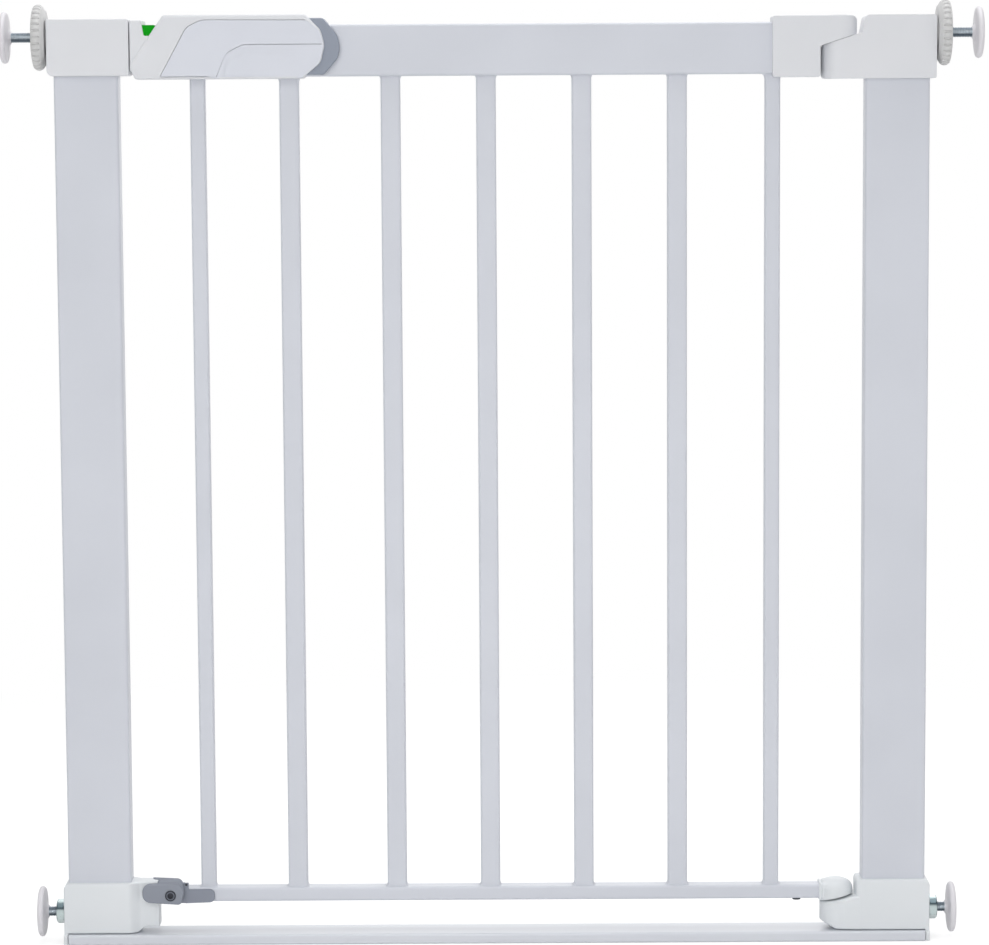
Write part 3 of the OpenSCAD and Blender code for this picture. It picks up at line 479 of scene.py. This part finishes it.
dress(powder_coat, "top_rail", "bottom_rail", *(f"bar_{i}" for i in range(1, 8)))
low_rail_top, rail_under, bar_half_y = 0.0442, 0.685, 0.005


def weld(x, half_x, level, way, reach, rise):
    """A fillet round a bar at a rail: a rounded rectangle (the 0.3 power of a circle's sine and cosine)
    that is wider than the bar by reach at the rail and closes in on it along a concave quarter ellipse over
    rise, mostly to the left and right.
    """
    turn = np.linspace(0, 2 * np.pi, 56, endpoint=False)
    along, across = (np.sign(v) * abs(v) ** 0.3 for v in (np.cos(turn), np.sin(turn)))
    quarter = np.linspace(0, np.pi / 2, 8)[:, None]
    out = (1 - np.sin(quarter)) * reach * abs(along) ** 2 + 0.0002
    z = level + way * (rise * (1 - np.cos(quarter)) - 0.0003) + 0 * turn
    rings = [
        np.stack([x + along * (half_x + out - back), across * (bar_half_y + 0.12 * out - back), z], -1)
        for back in (0, 0.0008)
    ]
    return np.concatenate([rings[0], rings[1][::-1], rings[0][:1]])


wide, narrow = 0.0077, 0.006
bars = (-0.2289, -0.1577, -0.0789, -0.0046, 0.0697, 0.144, 0.2183)
welds = [
    weld(x, narrow if i in (0, 6) else wide, low_rail_top, 1, 0.0036 if i % 2 else 0.003, 0.0024)
    for i, x in enumerate(bars)
]
welds += [weld(x, wide, rail_under, -1, 0.002, 0.0022) for x in bars[2:6]]
# the last bar's is larger, and the second bar's lies under the handle's low edge
welds += [weld(bars[6], narrow, rail_under, -1, 0.0034, 0.0036)]
welds += [weld(bars[1], wide, 0.6836, -1, 0.0022, 0.0026)]
made("bar_welds", welds, powder_coat, "painted_steel", "leaf", [], ends=(False, False))


# ---------------------------------------------------------------------------
# The leaf's hinge parts: a white knuckle pushed over the end of the top rail
# rides on the frame's ramp round a zinc pin, and a domed foot with a collar on
# the bottom rail turns on the lower pivot. A small screw holds the foot.

eased("leaf_knuckle", 0.0017, lambda x, y, z: outside(x, y, z, 1), white_moulding, body="leaf")
dress(white_moulding, "hinge_cap")

# the knob: its underside follows the sloping seat at a small gap, and its top is a dome
knob_radius, collar = 0.0136, (0.2564, 0.2700)
turn = np.linspace(0, 2 * np.pi, 72, endpoint=False)
under = seat_level + seat_slope * knob_radius * np.cos(turn) + 0.0008 - 0.0009 * np.minimum(np.sin(turn), 0)
brow = np.linspace(0, np.pi / 2, 14)[:, None]
hem = np.linspace(0, np.pi / 2, 6)[:, None]
bottom_r = knob_radius - 0.0014 * (1 - np.sin(hem)) + 0 * turn
bottom_z = under + 0.0014 * (1 - np.cos(hem))
dome_r = knob_radius * np.cos(brow) ** 0.62 + 0 * turn
dome_z = 0.0405 + 0.0081 * np.sin(brow) ** 1.1 + 0 * turn
r = np.concatenate([bottom_r, dome_r])
z = np.concatenate([bottom_z, dome_z])
knob = np.stack([hinge_x + r * np.cos(turn), r * np.sin(turn), z], -1)
# the shoulder that joins the knob to the rail, with a groove near its end
x = np.sort(
    np.concatenate([
        collar[0] + 0.0008 * (1 - np.cos(np.linspace(0, np.pi / 2, 6))), [0.2580, 0.2582, 0.2590, 0.2592],
        np.linspace(0.2595, collar[1], 9)
    ])
)
inside = ended(x, collar[0], 1, 0.0008) + 0.0008 * ((x > 0.2581) & (x < 0.2591))
swell = smooth(x, 0.2592, collar[1])
band = box_rows(
    x, 0.0093 + 0.0036 * swell - inside, 0.0319 + 0.0014 * swell + inside, 0.0462 + 0.0020 * swell - inside,
    0.0024 + 0.0044 * swell
)
made("leaf_foot_shell", [knob, band], foot_moulding, "white_plastic", "leaf", ["leaf_foot"])


# ---------------------------------------------------------------------------
# The handle over the latch: two white half shells screwed together round the
# top rail. The front has a low nose with a notch for the flag, a raised body
# with a broad eased top edge, and two inlaid panels; the lower one is dished.

def outline_of(corners, steps=8):
    """A closed outline in X and Z, in metres, through corners given in millimetres as (x, z, radius): each
    is an arc that touches both its sides.
    """
    c = np.array(corners, float)
    p, radius = c[:, :2], c[:, 2]
    a, b = np.roll(p, 1, axis=0) - p, np.roll(p, -1, axis=0) - p
    a /= np.linalg.norm(a, axis=1)[:, None]
    b /= np.linalg.norm(b, axis=1)[:, None]
    half = np.arccos(np.clip((a * b).sum(1), -1, 1)) / 2
    reach = radius / np.tan(half)
    middle = p + (a + b) / np.linalg.norm(a + b, axis=1)[:, None] * (radius / np.sin(half))[:, None]
    s, e = p + a * reach[:, None] - middle, p + b * reach[:, None] - middle
    turn = np.pi - 2 * half
    t = np.linspace(0, 1, steps)[None, :, None]
    w = turn[:, None, None]
    arc = (np.sin((1 - t) * w) * s[:, None] + np.sin(t * w) * e[:, None]) / np.sin(w) + middle[:, None]
    arc = np.where(radius[:, None, None] > 0, arc, p[:, None])
    points = arc.reshape(-1, 2) / 1000
    return points[np.linalg.norm(points - np.roll(points, 1, axis=0), axis=1) > 1e-7]


def grown(outline, out):
    """An outline moved out by out, along the line that halves each corner."""
    before, after = outline - np.roll(outline, 1, axis=0), np.roll(outline, -1, axis=0) - outline
    way = [
        np.stack([v[:, 1], -v[:, 0]], 1) / np.maximum(np.linalg.norm(v, axis=1), 1e-9)[:, None]
        for v in (before, after)
    ]
    mitre = way[0] + way[1]
    mitre /= np.maximum((mitre**2).sum(1), 0.4)[:, None] / 2
    area = (outline[:, 0] * np.roll(outline[:, 1], -1) - np.roll(outline[:, 0], -1) * outline[:, 1]).sum()
    return outline + mitre * np.sign(area) * (out[:, None] if isinstance(out, np.ndarray) else out)


def plate_rows(outline, front, back, ease, depth=None, back_ease=0.0008):
    """A plate between two levels of Y: the outline drawn in by ease at the front and swelling to its full
    size at depth behind it along a quarter ellipse, and the same at the back by back_ease.
    """
    depth = np.max(ease) if depth is None else depth
    quarter = np.linspace(0, np.pi / 2, 7)
    levels = [(front + depth * (1 - np.cos(a)), -ease * (1 - np.sin(a))) for a in quarter]
    levels += [(back - back_ease * (1 - np.cos(a)), -back_ease * (1 - np.sin(a))) for a in quarter[::-2]]
    return np.array([
        np.stack([xz[:, 0], np.full(len(xz), y), xz[:, 1]], 1) for y, out in levels
        for xz in [grown(outline, out)]
    ])


face, split = -0.0175, -0.00005
handle_left, handle_right, handle_low, handle_top = -280.0, -129.0, 683.4, 732.8
handle_length = handle_right - handle_left

# the raised body stops at a straight crease that runs on from the side of the notch down to the left end
body = outline_of([
    (handle_left, handle_low + 9, 1.6),
    (handle_left + 4, handle_low, 3),
    (handle_right - 18, handle_low, 3),
    (handle_right - 3.2, handle_low + 12, 10),
    (handle_right, handle_low + 26, 12),
    (handle_right - 3.2, handle_top - 12, 10),
    (handle_right - 15, handle_top, 3.4),
    (handle_left + 26, handle_top, 3.4),
    (handle_left + 12.63, 713.3, 0), (handle_left + 12.62, 713.29, 0),
    (handle_left + 1.26, 696.71, 0), (handle_left + 1.25, 696.7, 0),
    (handle_left + 0.5, handle_low + 12.2, 1.6),
])
ease = 0.0011 + 0.0020 * smooth(body[:, 1], 0.7265, 0.7305)
nose = outline_of([
    (handle_left, handle_low + 7, 1.2),
    (handle_left + 3, handle_low + 3, 1.2),
    (handle_left + 23.4, handle_low + 3, 1.2),
    (handle_left + 29.2, handle_low + 14, 1.2),
    (handle_left + 29.2, handle_low + 33.4, 1.2),
    (handle_left + 11.0, handle_low + 33.5, 1.5),
    (handle_left + 9.6, handle_top - 7.3, 4.0),
    (handle_left + 9.2, handle_top - 3.9, 1.2),
    (handle_left, handle_top - 3.9, 1.5),
    (handle_left, 713.3, 0), (handle_left - 0.001, 713.29, 0),
    (handle_left - 0.001, 696.71, 0), (handle_left, 696.7, 0),
])


def let_in(rows, reach):
    """Plate rows whose left side has half of the bolt's window cut into it: from window_front back, the
    points between its levels lie at reach.
    """
    window_front, window_z, window_half = -0.0053, 0.705, 0.0083
    inner = (abs(rows[0, :, 2] - window_z) < window_half - 0.000005) & (rows[0, :, 0] < -0.262)
    front = int((rows[:, 0, 1] < window_front).sum())
    wall = rows[front - 1:front].copy()
    wall[..., 1] = window_front
    cut = np.concatenate([wall, rows[front:]])
    cut[:, inner, 0] = reach
    return np.concatenate([rows[:front], wall, cut])


recess_depth = 0.0023
recess = outline_of([
    (handle_left + 23.0, handle_low + 1.6, 0.8),
    (handle_right - 20, handle_low + 1.6, 3),
    (handle_right - 5.4, handle_low + 13, 10),
    (handle_right - 2.2, handle_low + 26, 12),
    (handle_right - 5.4, handle_top - 13.2, 10),
    (handle_right - 15, handle_top - 4.2, 1),
    (handle_left + 56, handle_top - 3.7, 16),
    (handle_left + 44, handle_low + 40, 10),
])
sunk = [(face, 0.00012), (face + 0.00012, 0), (face + recess_depth, 0)]
well = np.array([
    np.stack([xz[:, 0], np.full(len(xz), y), xz[:, 1]], 1) for y, out in sunk for xz in [grown(recess, out)]
])
body_window, nose_window = -0.2510, -0.2516
body_rows = let_in(plate_rows(body, face, split, ease, 0.0016, 0.0001), body_window)
nose_rows = let_in(plate_rows(nose, face + 0.0013, split, 0.0009, 0.0009, 0.0001), nose_window)
made(
    "handle_front_shell", [body_rows, well, nose_rows], white_moulding, "white_plastic", "leaf",
    ["handle_front"], ends=[(False, True), (False, True), (True, True)]
)

# the back shell is eased round its rear face, but not round the counterbores of its three screws
handle_screw_spots = ((-0.268, 0.6905), (-0.215, 0.6915), (-0.167, 0.6915))
counterbore = 0.006


def rear_edge(x, y, z):
    """1 along the edges of the rear face that aren't the rim of a counterbore."""
    clear = [np.hypot(x - screw_x, z - screw_z) > counterbore for screw_x, screw_z in handle_screw_spots]
    return (y > 0.0172) & clear[0] & clear[1] & clear[2]


eased("handle_back", 0.0014, rear_edge, white_moulding, body="leaf")


def panel_rows(x, low, high, front, back, roll, sink):
    """A panel as sections across X: each runs from low to high with its face at front, rolled back at both
    edges by a quarter circle of radius roll over the distance square to the edge, and moved in by sink(x,
    distance below the top edge).
    """
    v = (1 - np.cos(np.linspace(0, np.pi, 34))) / 2
    z = low[:, None] + (high - low)[:, None] * v
    lean = [1 / np.hypot(1, np.gradient(edge, x)) for edge in (low, high)]
    gap = np.minimum((z - low[:, None]) * lean[0][:, None], (high[:, None] - z) * lean[1][:, None])
    gap = np.minimum(gap, np.minimum(x - x[0], x[-1] - x)[:, None])
    fall = roll - np.sqrt(np.maximum(roll**2 - (roll - np.clip(gap, 0, roll)) ** 2, 0))
    y = front + fall + sink(x[:, None], (high[:, None] - z) * lean[1][:, None])
    rear = [np.stack([x, np.full(len(x), back), edge], 1)[:, None] for edge in (high, low)]
    return np.concatenate([np.stack([np.broadcast_to(x[:, None], z.shape), y, z], -1), *rear], 1)


def dished(x, drop):
    """The grip's hollow: it deepens over 8 mm below the top edge, and runs out towards the right end."""
    return 0.0014 * smooth(drop, 0.0004, 0.0080) * (1 - smooth(x, -0.197, -0.142))


def chain(points, x):
    """The height at x of a chain of corners given in millimetres as (x, z, radius), each an arc: the chain
    is closed far below, and that part is left out again.
    """
    below = [(points[-1][0], points[-1][1] - 200, 0), (points[0][0], points[0][1] - 200, 0)]
    p = outline_of(points + below)
    p = p[p[:, 1] > (points[0][1] - 100) / 1000]
    order = np.argsort(p[:, 0], kind="stable")
    return np.interp(x, p[order, 0], p[order, 1])


right_low = [
    (handle_right - 18, handle_low + 0.4, 3), (handle_right - 3.7, handle_low + 12, 10),
    (handle_right - 0.5, handle_low + 26, 0)
]
right_high = [
    (handle_right - 0.5, handle_low + 26, 0), (handle_right - 3.7, handle_top - 12.2, 10),
    (handle_right - 14.0, handle_top - 4.6, 2)
]
seam = [
    (handle_left + 65.4, handle_low - 3, 0), (handle_left + 74.5, handle_low + 20, 12),
    (handle_left + 88, handle_low + 26.4, 12), (handle_right + 6, handle_low + 26.4, 0)
]
crest = [
    (handle_left + 23.4, handle_low + 1.7, 0), (handle_left + 44.3, handle_low + 39.8, 10),
    (handle_left + 56, handle_top - 4.0, 16)
]
gap, proud, panel_back = 0.00028, 0.0001, 0.0022
panel_moulding = skin("panel_moulding", shown(215, 218, 226), shown(210, 213, 222), 0.44, 0.0006, 0.00001)
half_turn = (1 - np.cos(np.linspace(0, np.pi, 90))) / 2

x = (handle_left + 66.9 + (handle_length - 67.5) * half_turn) / 1000
low = chain([(handle_left + 60, handle_low + 0.4, 0)] + right_low, x)
high = np.maximum(chain(seam, x) - 0.6 * gap, low + 0.00005)
grip = panel_rows(x, low, high, face - proud, face + panel_back, 0.0003, dished)
made("grip_inlay", [grip], panel_moulding, "white_plastic", "leaf", ["grip_panel"])

x = (handle_left + 23.6 + (handle_length - 24.2) * half_turn) / 1000
floor_points = [
    (handle_left + 20, handle_low + 2.0, 0), (handle_left + 60, handle_low + 2.0, 4),
    (handle_left + 66, handle_low + 0.4, 0)
]
floor_line = chain(floor_points, x)
low = np.where(
    x > (handle_left + 66.7) / 1000, np.maximum(chain(seam, x) + 0.6 * gap, floor_line), floor_line
)
high = np.maximum(chain(crest + right_high[::-1], x), low + 0.00005)
cover = panel_rows(x, low, high, face - proud, face + panel_back, 0.0003, lambda x, drop: 0 * drop)
made("cover_inlay", [cover], panel_moulding, "white_plastic", "leaf", ["handle_cover"])

# the flag that shows in the notch when the bolt is home: green plastic, its lower corners rounded
green_moulding = skin(
    "green_moulding", shown(0, 160, 14), shown(0, 150, 10), 0.5, 0.0006, 0.00001, specular=0.1
)
flag = outline_of([(-270.6, 713.2, 2.0), (-261.0, 713.2, 2.0), (-261.0, 725.3, 0.4), (-270.6, 725.3, 0.4)])
made(
    "flag_shell", [plate_rows(flag, -0.0143, 0.0143, 0.0005)], green_moulding, "green_plastic", "latch",
    ["indicator_flag"]
)

grey_moulding = skin("grey_moulding", shown(143, 150, 164), shown(137, 144, 157), 0.45, 0.0006, 0.00001)
# the slider: two cheeks on the sides of the rail, joined by a bridge over its top
cheek = outline_of([
    (-149.7, 686.2, 1), (-130.0, 686.2, 3), (-117.8, 700.2, 16), (-117.6, 709.0, 14), (-119.4, 717.2, 14),
    (-130.6, 730.0, 3), (-149.7, 730.0, 1)
])
bridge = outline_of([(-149.7, 725.3, 0), (-126.5, 725.3, 0), (-130.6, 729.99, 3), (-149.7, 729.99, 0)])
cheek_face, inner_face = 0.0145, 0.01030
cheeks = [
    plate_rows(cheek, -cheek_face, -inner_face, 0.0012, back_ease=0.0001),
    plate_rows(cheek, cheek_face, inner_face, 0.0012, -0.0012, back_ease=-0.0001),
]
span = plate_rows(bridge, -inner_face - 0.0005, inner_face + 0.0005, 0.00005, back_ease=0.00005)
made("slider_shell", [*cheeks, span], grey_moulding, "grey_plastic", "latch", ["thumb_slider"])

# the works in the rail: a dark plug, and zinc-plated bolt, rod, pins and spring stop
dress(skin("dark_moulding", shown(120, 125, 132), shown(110, 114, 122), 0.5, 0.0006, 0.00001), "rail_plug")
zinc = skin("zinc_plate", shown(178, 186, 192), shown(156, 164, 172), 0.32, 0.0015, 0.000004, metallic=1.0)
dress(zinc, "upper_hinge_pin", "lower_pivot_pin", "spring_stop", "latch_bolt", "bolt_rod", "slider_pin")


# ---------------------------------------------------------------------------
# The release spring: hard-drawn steel wire wound round the rod. Its end turns
# are closed up so that it sits flat between the rod's collar and the spring
# stop.

def coil(low, high, wire, turns, steps, sides):
    """Rings round a wire that winds turns times about the middle line of the box from low to high. Its
    angle grows evenly; it moves along X by its own thickness in the first and the last turn, and evenly
    between them.
    """
    turn = np.linspace(0, turns, turns * steps + 1)
    first, last = low[0] + wire / 2, high[0] - wire / 2
    along = np.interp(
        turn, [0, 1, turns - 1, turns], [first, first + 1.05 * wire, last - 1.05 * wire, last]
    )
    angle = 2 * math.pi * turn[:, None]
    side = 2 * math.pi * np.arange(sides) / sides
    reach = (high[2] - low[2]) / 2 - wire / 2 + wire / 2 * np.cos(side)
    x = along[:, None] + wire / 2 * np.sin(side)
    return np.stack(
        [x, (low[1] + high[1]) / 2 + reach * np.cos(angle), (low[2] + high[2]) / 2 + reach * np.sin(angle)],
        -1
    )


low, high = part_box("release_spring")
travel = next(j["range_m"][1] for j in frame["joints"] if j["name"] == "latch_slide")
spring = made(
    "spring_coil", [coil(low, high, wire=0.0012, turns=8, steps=24, sides=10)], zinc, "zinc_steel", "leaf",
    ["release_spring"]
)
1 - travel / (high[0] - low[0])
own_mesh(spring)


# ---------------------------------------------------------------------------
# The stop at the foot of the latch side: a grey clip plugged into the bottom
# rail carries a turning lever on a black socket screw. The lever's lobe lies
# in front of the frame's finger and keeps the leaf from being pushed through.

lever_grey = skin("lever_grey", shown(142, 146, 157), shown(134, 139, 150), 0.43, 0.0006, 0.00001)
clip_grey = skin("clip_grey", shown(137, 142, 154), shown(130, 135, 147), 0.45, 0.0006, 0.00001)
pivot_x, pivot_z, lever_face, hole_radius = -258.6, 39.8, -0.0161, 0.0044


def round_pivot(*corners):
    """An outline from corners given from the screw's middle."""
    return outline_of([(pivot_x + x, pivot_z + z, r) for x, z, r in corners])


def screw_hole(front, back):
    """The wall of the screw's round hole between two levels of Y."""
    turn = np.linspace(0, 2 * np.pi, 48, endpoint=False)
    x, z = pivot_x / 1000 + hole_radius * np.cos(turn), pivot_z / 1000 + hole_radius * np.sin(turn)
    return np.array([np.stack([x, 0 * turn + y, z], 1) for y in (front, back)])


lobe = round_pivot(
    (-22.4, -5.5, 6.8), (8, -7.5, 3), (11, 2, 5), (7.6, 9.6, 4), (-8, 10.0, 5), (-22.4, 9.6, 6.8)
)
tab = round_pivot((-10.5, -3, 3), (8, -6.5, 3.4), (10.8, 2, 5), (9, 13.1, 5), (-10.5, 13.1, 3.4))
lip = round_pivot(
    (-13.2, 12.9, 0.3), (-8, 12.0, 1), (8, 8.0, 1), (10.6, 6, 1), (9, 13.2, 5), (-14, 14.3, 0.3)
)
lobe_back, tab_face, lip_face, back = -0.0125, lever_face + 0.0012, -0.0131, -0.0101
lever_shells = [
    plate_rows(lobe, lever_face, lobe_back, 0.0016, 0.0013), screw_hole(lever_face, lobe_back),
    plate_rows(tab, tab_face, back, 0.0028, 0.0016), screw_hole(tab_face, -0.0128),
    plate_rows(lip, lip_face, back, 0.0003),
]
made("stop_lever_shell", lever_shells, lever_grey, "grey_plastic", "lever", ["stop_lever"],
     ends=[(False, False), (False, False), (False, True), (False, True), (True, True)])
eased("stop_clip", 0.0007, lambda x, y, z: y < -0.0095, clip_grey, "leaf")
black_oxide = skin("black_oxide", shown(72, 74, 80), shown(54, 56, 61), 0.4, 0.001, 0.000006, metallic=0.7)
dress(black_oxide, "stop_pin", "foot_screw")


def ringed_screw_head():
    """Black oxide with one lighter ring round the socket: the ring comes from the distance to the screw's
    axis.
    """
    f = Finish("ringed_screw_head")
    place = f.node("ShaderNodeTexCoord", output="Object")
    flat = f.node("ShaderNodeVectorMath", {"operation": "MULTIPLY"}, [place, (1.0, 0.0, 1.0)])
    middle = (pivot_x / 1000, 0.0, pivot_z / 1000)
    out = f.node("ShaderNodeVectorMath", {"operation": "DISTANCE"}, [flat, middle], "Value")
    stops = [(0.23, 0.0), (0.27, 1.0), (0.31, 1.0), (0.35, 0.0)]
    ring = f.node("ShaderNodeValToRGB", {"stops": stops}, {"Fac": out * 100})
    return f.close(f.node("ShaderNodeBsdfPrincipled", inputs={
        "Base Color": f.blend(ring, shown(50, 52, 59), shown(94, 98, 107)),
        "Roughness": 0.4,
        "Metallic": 0.7,
    }))


dress(ringed_screw_head(), "stop_screw")


# ---------------------------------------------------------------------------
# The four wall fixings. A soft white pad with a flared neck is moulded on a
# zinc-plated M8 stud. Ribbed handwheels drive the upper studs, and hex nuts
# the lower ones; they bear on the housings and press the pads to the wall.

def spun(side, along, radius, level, columns=96):
    """A surface round an axis along X: radius is given for each point along it, and may change round the
    axis too.
    """
    turn = np.linspace(0, 2 * np.pi, columns, endpoint=False)
    r = radius if radius.ndim == 2 else radius[:, None] + 0 * turn
    return np.stack([side * along[:, None] + 0 * r, r * np.cos(turn), level + r * np.sin(turn)], -1)


def zinc_with_painted_reflections(name, level, half, light, dark, stops):
    """Bright zinc with painted reflections: its tone runs in light and dark bands along the axis at a level
    of Z, half being the piece's half height: each stop gives a height, from 0 under the piece to 1 above
    it, and how dark it is.
    """
    f = Finish(name)
    place = f.node("ShaderNodeTexCoord", output="Object")
    up = f.node("ShaderNodeSeparateXYZ", inputs=[place], output=2)
    fine = f.node("ShaderNodeTexNoise", inputs={"Vector": place, "Scale": 900.0, "Detail": 3.0})
    height = (up - level) * (0.5 / half) + 0.47 + 0.06 * fine
    band = f.node("ShaderNodeValToRGB", {"stops": stops}, {"Fac": height})
    return f.close(f.node("ShaderNodeBsdfPrincipled", inputs={
        "Base Color": f.blend(band, light, dark),
        "Roughness": 0.24 + 0.1 * fine,
        "Metallic": 1.0,
    }))


pale_moulding = skin("pale_moulding", shown(223, 221, 225), shown(218, 216, 221), 0.5, 0.0005, 0.00001)
wheel_moulding = skin("wheel_moulding", shown(206, 206, 205), shown(199, 199, 200), 0.5, 0.0005, 0.00001)
pad_radius, pitch = 0.020, 0.00125
stud_tail, stud_head, thread_root, thread_rise = 0.0675, 0.0045, 0.0035, 0.00045
high_stud, low_stud = 0.7163, 0.0245
# painted reflections: the light and dark bands along the studs and the nuts stand in for the studio's light
# and shade mirrored in the zinc; they are not a colour of the plating
stud_painted_reflections = [
    (0.0, 0.55), (0.1, 0.9), (0.3, 1.0), (0.42, 0.1), (0.62, 0.0), (0.78, 0.75), (0.9, 0.9), (1.0, 0.35)
]
nut_painted_reflections = [(0.0, 0.35), (0.15, 0.12), (0.5, 0.0), (0.62, 0.1), (0.7, 1.0), (0.88, 0.9), (0.95, 0.2)]
reflection_painted_stud_zinc = {
    z: zinc_with_painted_reflections(f"reflection_painted_stud_zinc_{i}", z, 0.004, shown(198, 206, 212), shown(104, 116, 126), stud_painted_reflections)
    for i, z in enumerate((high_stud, low_stud))
}
reflection_painted_nut_zinc = zinc_with_painted_reflections("reflection_painted_nut_zinc", low_stud, 0.0095, shown(180, 192, 192), shown(70, 84, 90), nut_painted_reflections)

for side, hand in ((-1, "left"), (1, "right")):
    for level, tier, wall_face in ((high_stud, "upper", 0.381), (low_stud, "lower", 0.3645)):
        # the pad: a flat face, a rim rounded all the way over, and a short neck that flares into the
        # domed back of the disc
        rim = np.radians(np.linspace(4, 165, 17))
        flare, lens = np.linspace(0, np.pi / 2, 12), np.linspace(0.12, 1, 9)
        along = np.concatenate([
            [0, 0.0001], 0.0024 * (1 - np.cos(rim)), 0.0047 + 0.0008 * lens,
            0.0056 + 0.0020 * np.sin(flare), [0.0077]
        ])
        radius = np.concatenate([
            [0.0002, 0.0165], pad_radius - 0.0024 + 0.0024 * np.sin(rim), 0.0174 - 0.0098 * lens,
            0.0048 + 0.0026 * (1 - np.sin(flare)) ** 1.3, [0.0040]
        ])
        made(
            f"{tier}_{hand}_pad_shell", [spun(side, wall_face - along, radius, level)], pale_moulding,
            "pale_plastic", f"{tier}_{hand}_foot", [f"{tier}_{hand}_pad"]
        )
        # the stud's rolled thread: the radius rises and falls as an even wave of the distance along plus
        # the turn
        along = np.linspace(wall_face - stud_tail, wall_face - stud_head, 50 * 8)
        turn = np.linspace(0, 2 * np.pi, 24, endpoint=False)
        wave = 0.5 + 0.5 * np.cos(2 * np.pi * along[:, None] / pitch - side * turn)
        shut = smooth(along, wall_face - stud_tail, wall_face - stud_tail + 0.001)[:, None]
        radius = thread_root + thread_rise * wave ** 0.8 * shut
        made(f"{tier}_{hand}_stud", [spun(side, along, radius, level, 24)], reflection_painted_stud_zinc[level], "zinc_steel",
             f"{tier}_{hand}_foot", [f"{tier}_{hand}_spindle"])

    # the handwheel: a barrel-shaped rim with rounded ribs, a stepped face towards the wall and a short
    # boss towards the housing
    start, width, wheel_radius, ribs = 0.3461, 0.0098, 0.0255, 30
    v = np.linspace(0, 1, 25)
    barrel = wheel_radius - 0.0016 * abs(2 * v - 1) ** 2.4
    turn = np.linspace(0, 2 * np.pi, ribs * 12, endpoint=False)
    groove = np.clip(np.cos(ribs * turn) * 1.5 - 0.35, 0, 1) ** 1.3
    bite = 0.0015 * (smooth(v, 0.04, 0.16) * (1 - smooth(v, 0.84, 0.96)))[:, None] * groove
    bore = 0.0041
    inner = [
        (start - 0.0012, bore), (start - 0.0012, 0.0105), (start - 0.0010, 0.0109), (start, 0.0110),
        (start, 0.0196), (start + 0.0002, 0.0206), (start + 0.0021, 0.0233)
    ]
    outer = [
        (start + width - 0.0001, 0.0228), (start + width - 0.0003, 0.0195),
        (start + width - 0.0016, 0.0180), (start + width - 0.0016, 0.0092),
        (start + width - 0.0002, 0.0086), (start + width, 0.0080), (start + width, bore)
    ]
    along = np.array(
        [a for a, _ in inner] + list(start + 0.0024 + (width - 0.0028) * v) + [a for a, _ in outer]
    )
    radius = np.array([r for _, r in inner] + list(barrel) + [r for _, r in outer])[:, None] + 0 * turn
    radius[len(inner):len(inner) + len(v)] -= bite
    along, radius = np.append(along, along[0]), np.concatenate([radius, radius[:1]])
    made(
        f"upper_{hand}_wheel_shell", [spun(side, along, radius, high_stud, len(turn))], wheel_moulding,
        "pale_plastic", f"upper_{hand}_turner", [f"upper_{hand}_handwheel"], ends=(False, False)
    )

    # the nut: six flats cut by a cone at both ends, so the radius is the lesser of the hexagon's and the
    # cone's
    start, height, flats, around = 0.3439, 0.0065, 0.0085, 72
    turn = np.linspace(0, 2 * np.pi, around, endpoint=False)
    hexagon = flats / np.cos((turn + np.pi / 6) % (np.pi / 3) - np.pi / 6)
    v = np.linspace(0, 1, 21)[:, None]
    cone = flats * 0.985 + 0.0016 * np.minimum(1, 6 * np.minimum(v, 1 - v)) ** 0.8
    rim = np.minimum(hexagon, cone)
    ring = np.full((1, around), bore)
    lead = np.full((1, around), bore + 0.0005)
    along = start + height * np.concatenate([[0.06], [0], v[:, 0], [1], [0.94], [0.06]])
    radius = np.concatenate([ring, lead, rim, lead, ring, ring])
    made(f"lower_{hand}_nut_shell", [spun(side, along, radius, low_stud, around)], reflection_painted_nut_zinc, "zinc_steel",
         f"lower_{hand}_turner", [f"lower_{hand}_nut"], ends=(False, False))


# ---------------------------------------------------------------------------
# The pan-head screws at the back that hold the housings to the uprights and
# the two halves of the handle together: zinc-plated steel with a cross recess.

def pan_head(x, base, z, radius, height):
    """A screw head that stands out along +Y from base: a short cylinder, 0.55 of the height, under a dome,
    which is the rest of the height times the square root of one less the fourth power of the radius share.
    A cross is sunk near its middle.
    """
    turn = np.linspace(0, 2 * np.pi, 96, endpoint=False)
    share = np.concatenate([[1.0, 1.0], np.sin(np.linspace(np.pi / 2, 0.02, 26))])[:, None]
    r = radius * share + 0 * turn
    dome = height * (0.55 + 0.45 * np.sqrt(np.maximum(1 - share**4, 0))) + 0 * turn
    dome[0] = 0
    px, pz = r * np.cos(turn), r * np.sin(turn)
    arm = 0.11 * radius + 0.05 * (0.6 * radius - r)
    cross = (np.minimum(abs(px), abs(pz)) < np.maximum(arm, 0.0002)) & (r < 0.56 * radius)
    dome = np.where(cross, dome - height * 0.55, dome)
    return np.stack([x + px, base + dome, z + pz], -1)


upright_x, head_radius, head_height = 0.315, 0.0040, 0.0026
housing_spots = (
    (-upright_x, 0.0160, 0.6982), (upright_x, 0.0140, 0.6930), (-upright_x, 0.0140, 0.0405),
    (upright_x, 0.0140, 0.0405)
)
heads = [pan_head(*spot, head_radius, head_height) for spot in housing_spots]
made("housing_screw_heads", heads, zinc, "zinc_steel", "frame", ["housing_screws"])
heads = [pan_head(x, 0.0159, z, 0.0030, 0.0018) for x, z in handle_screw_spots]
made("handle_screw_heads", heads, zinc, "zinc_steel", "leaf", ["handle_screws"])
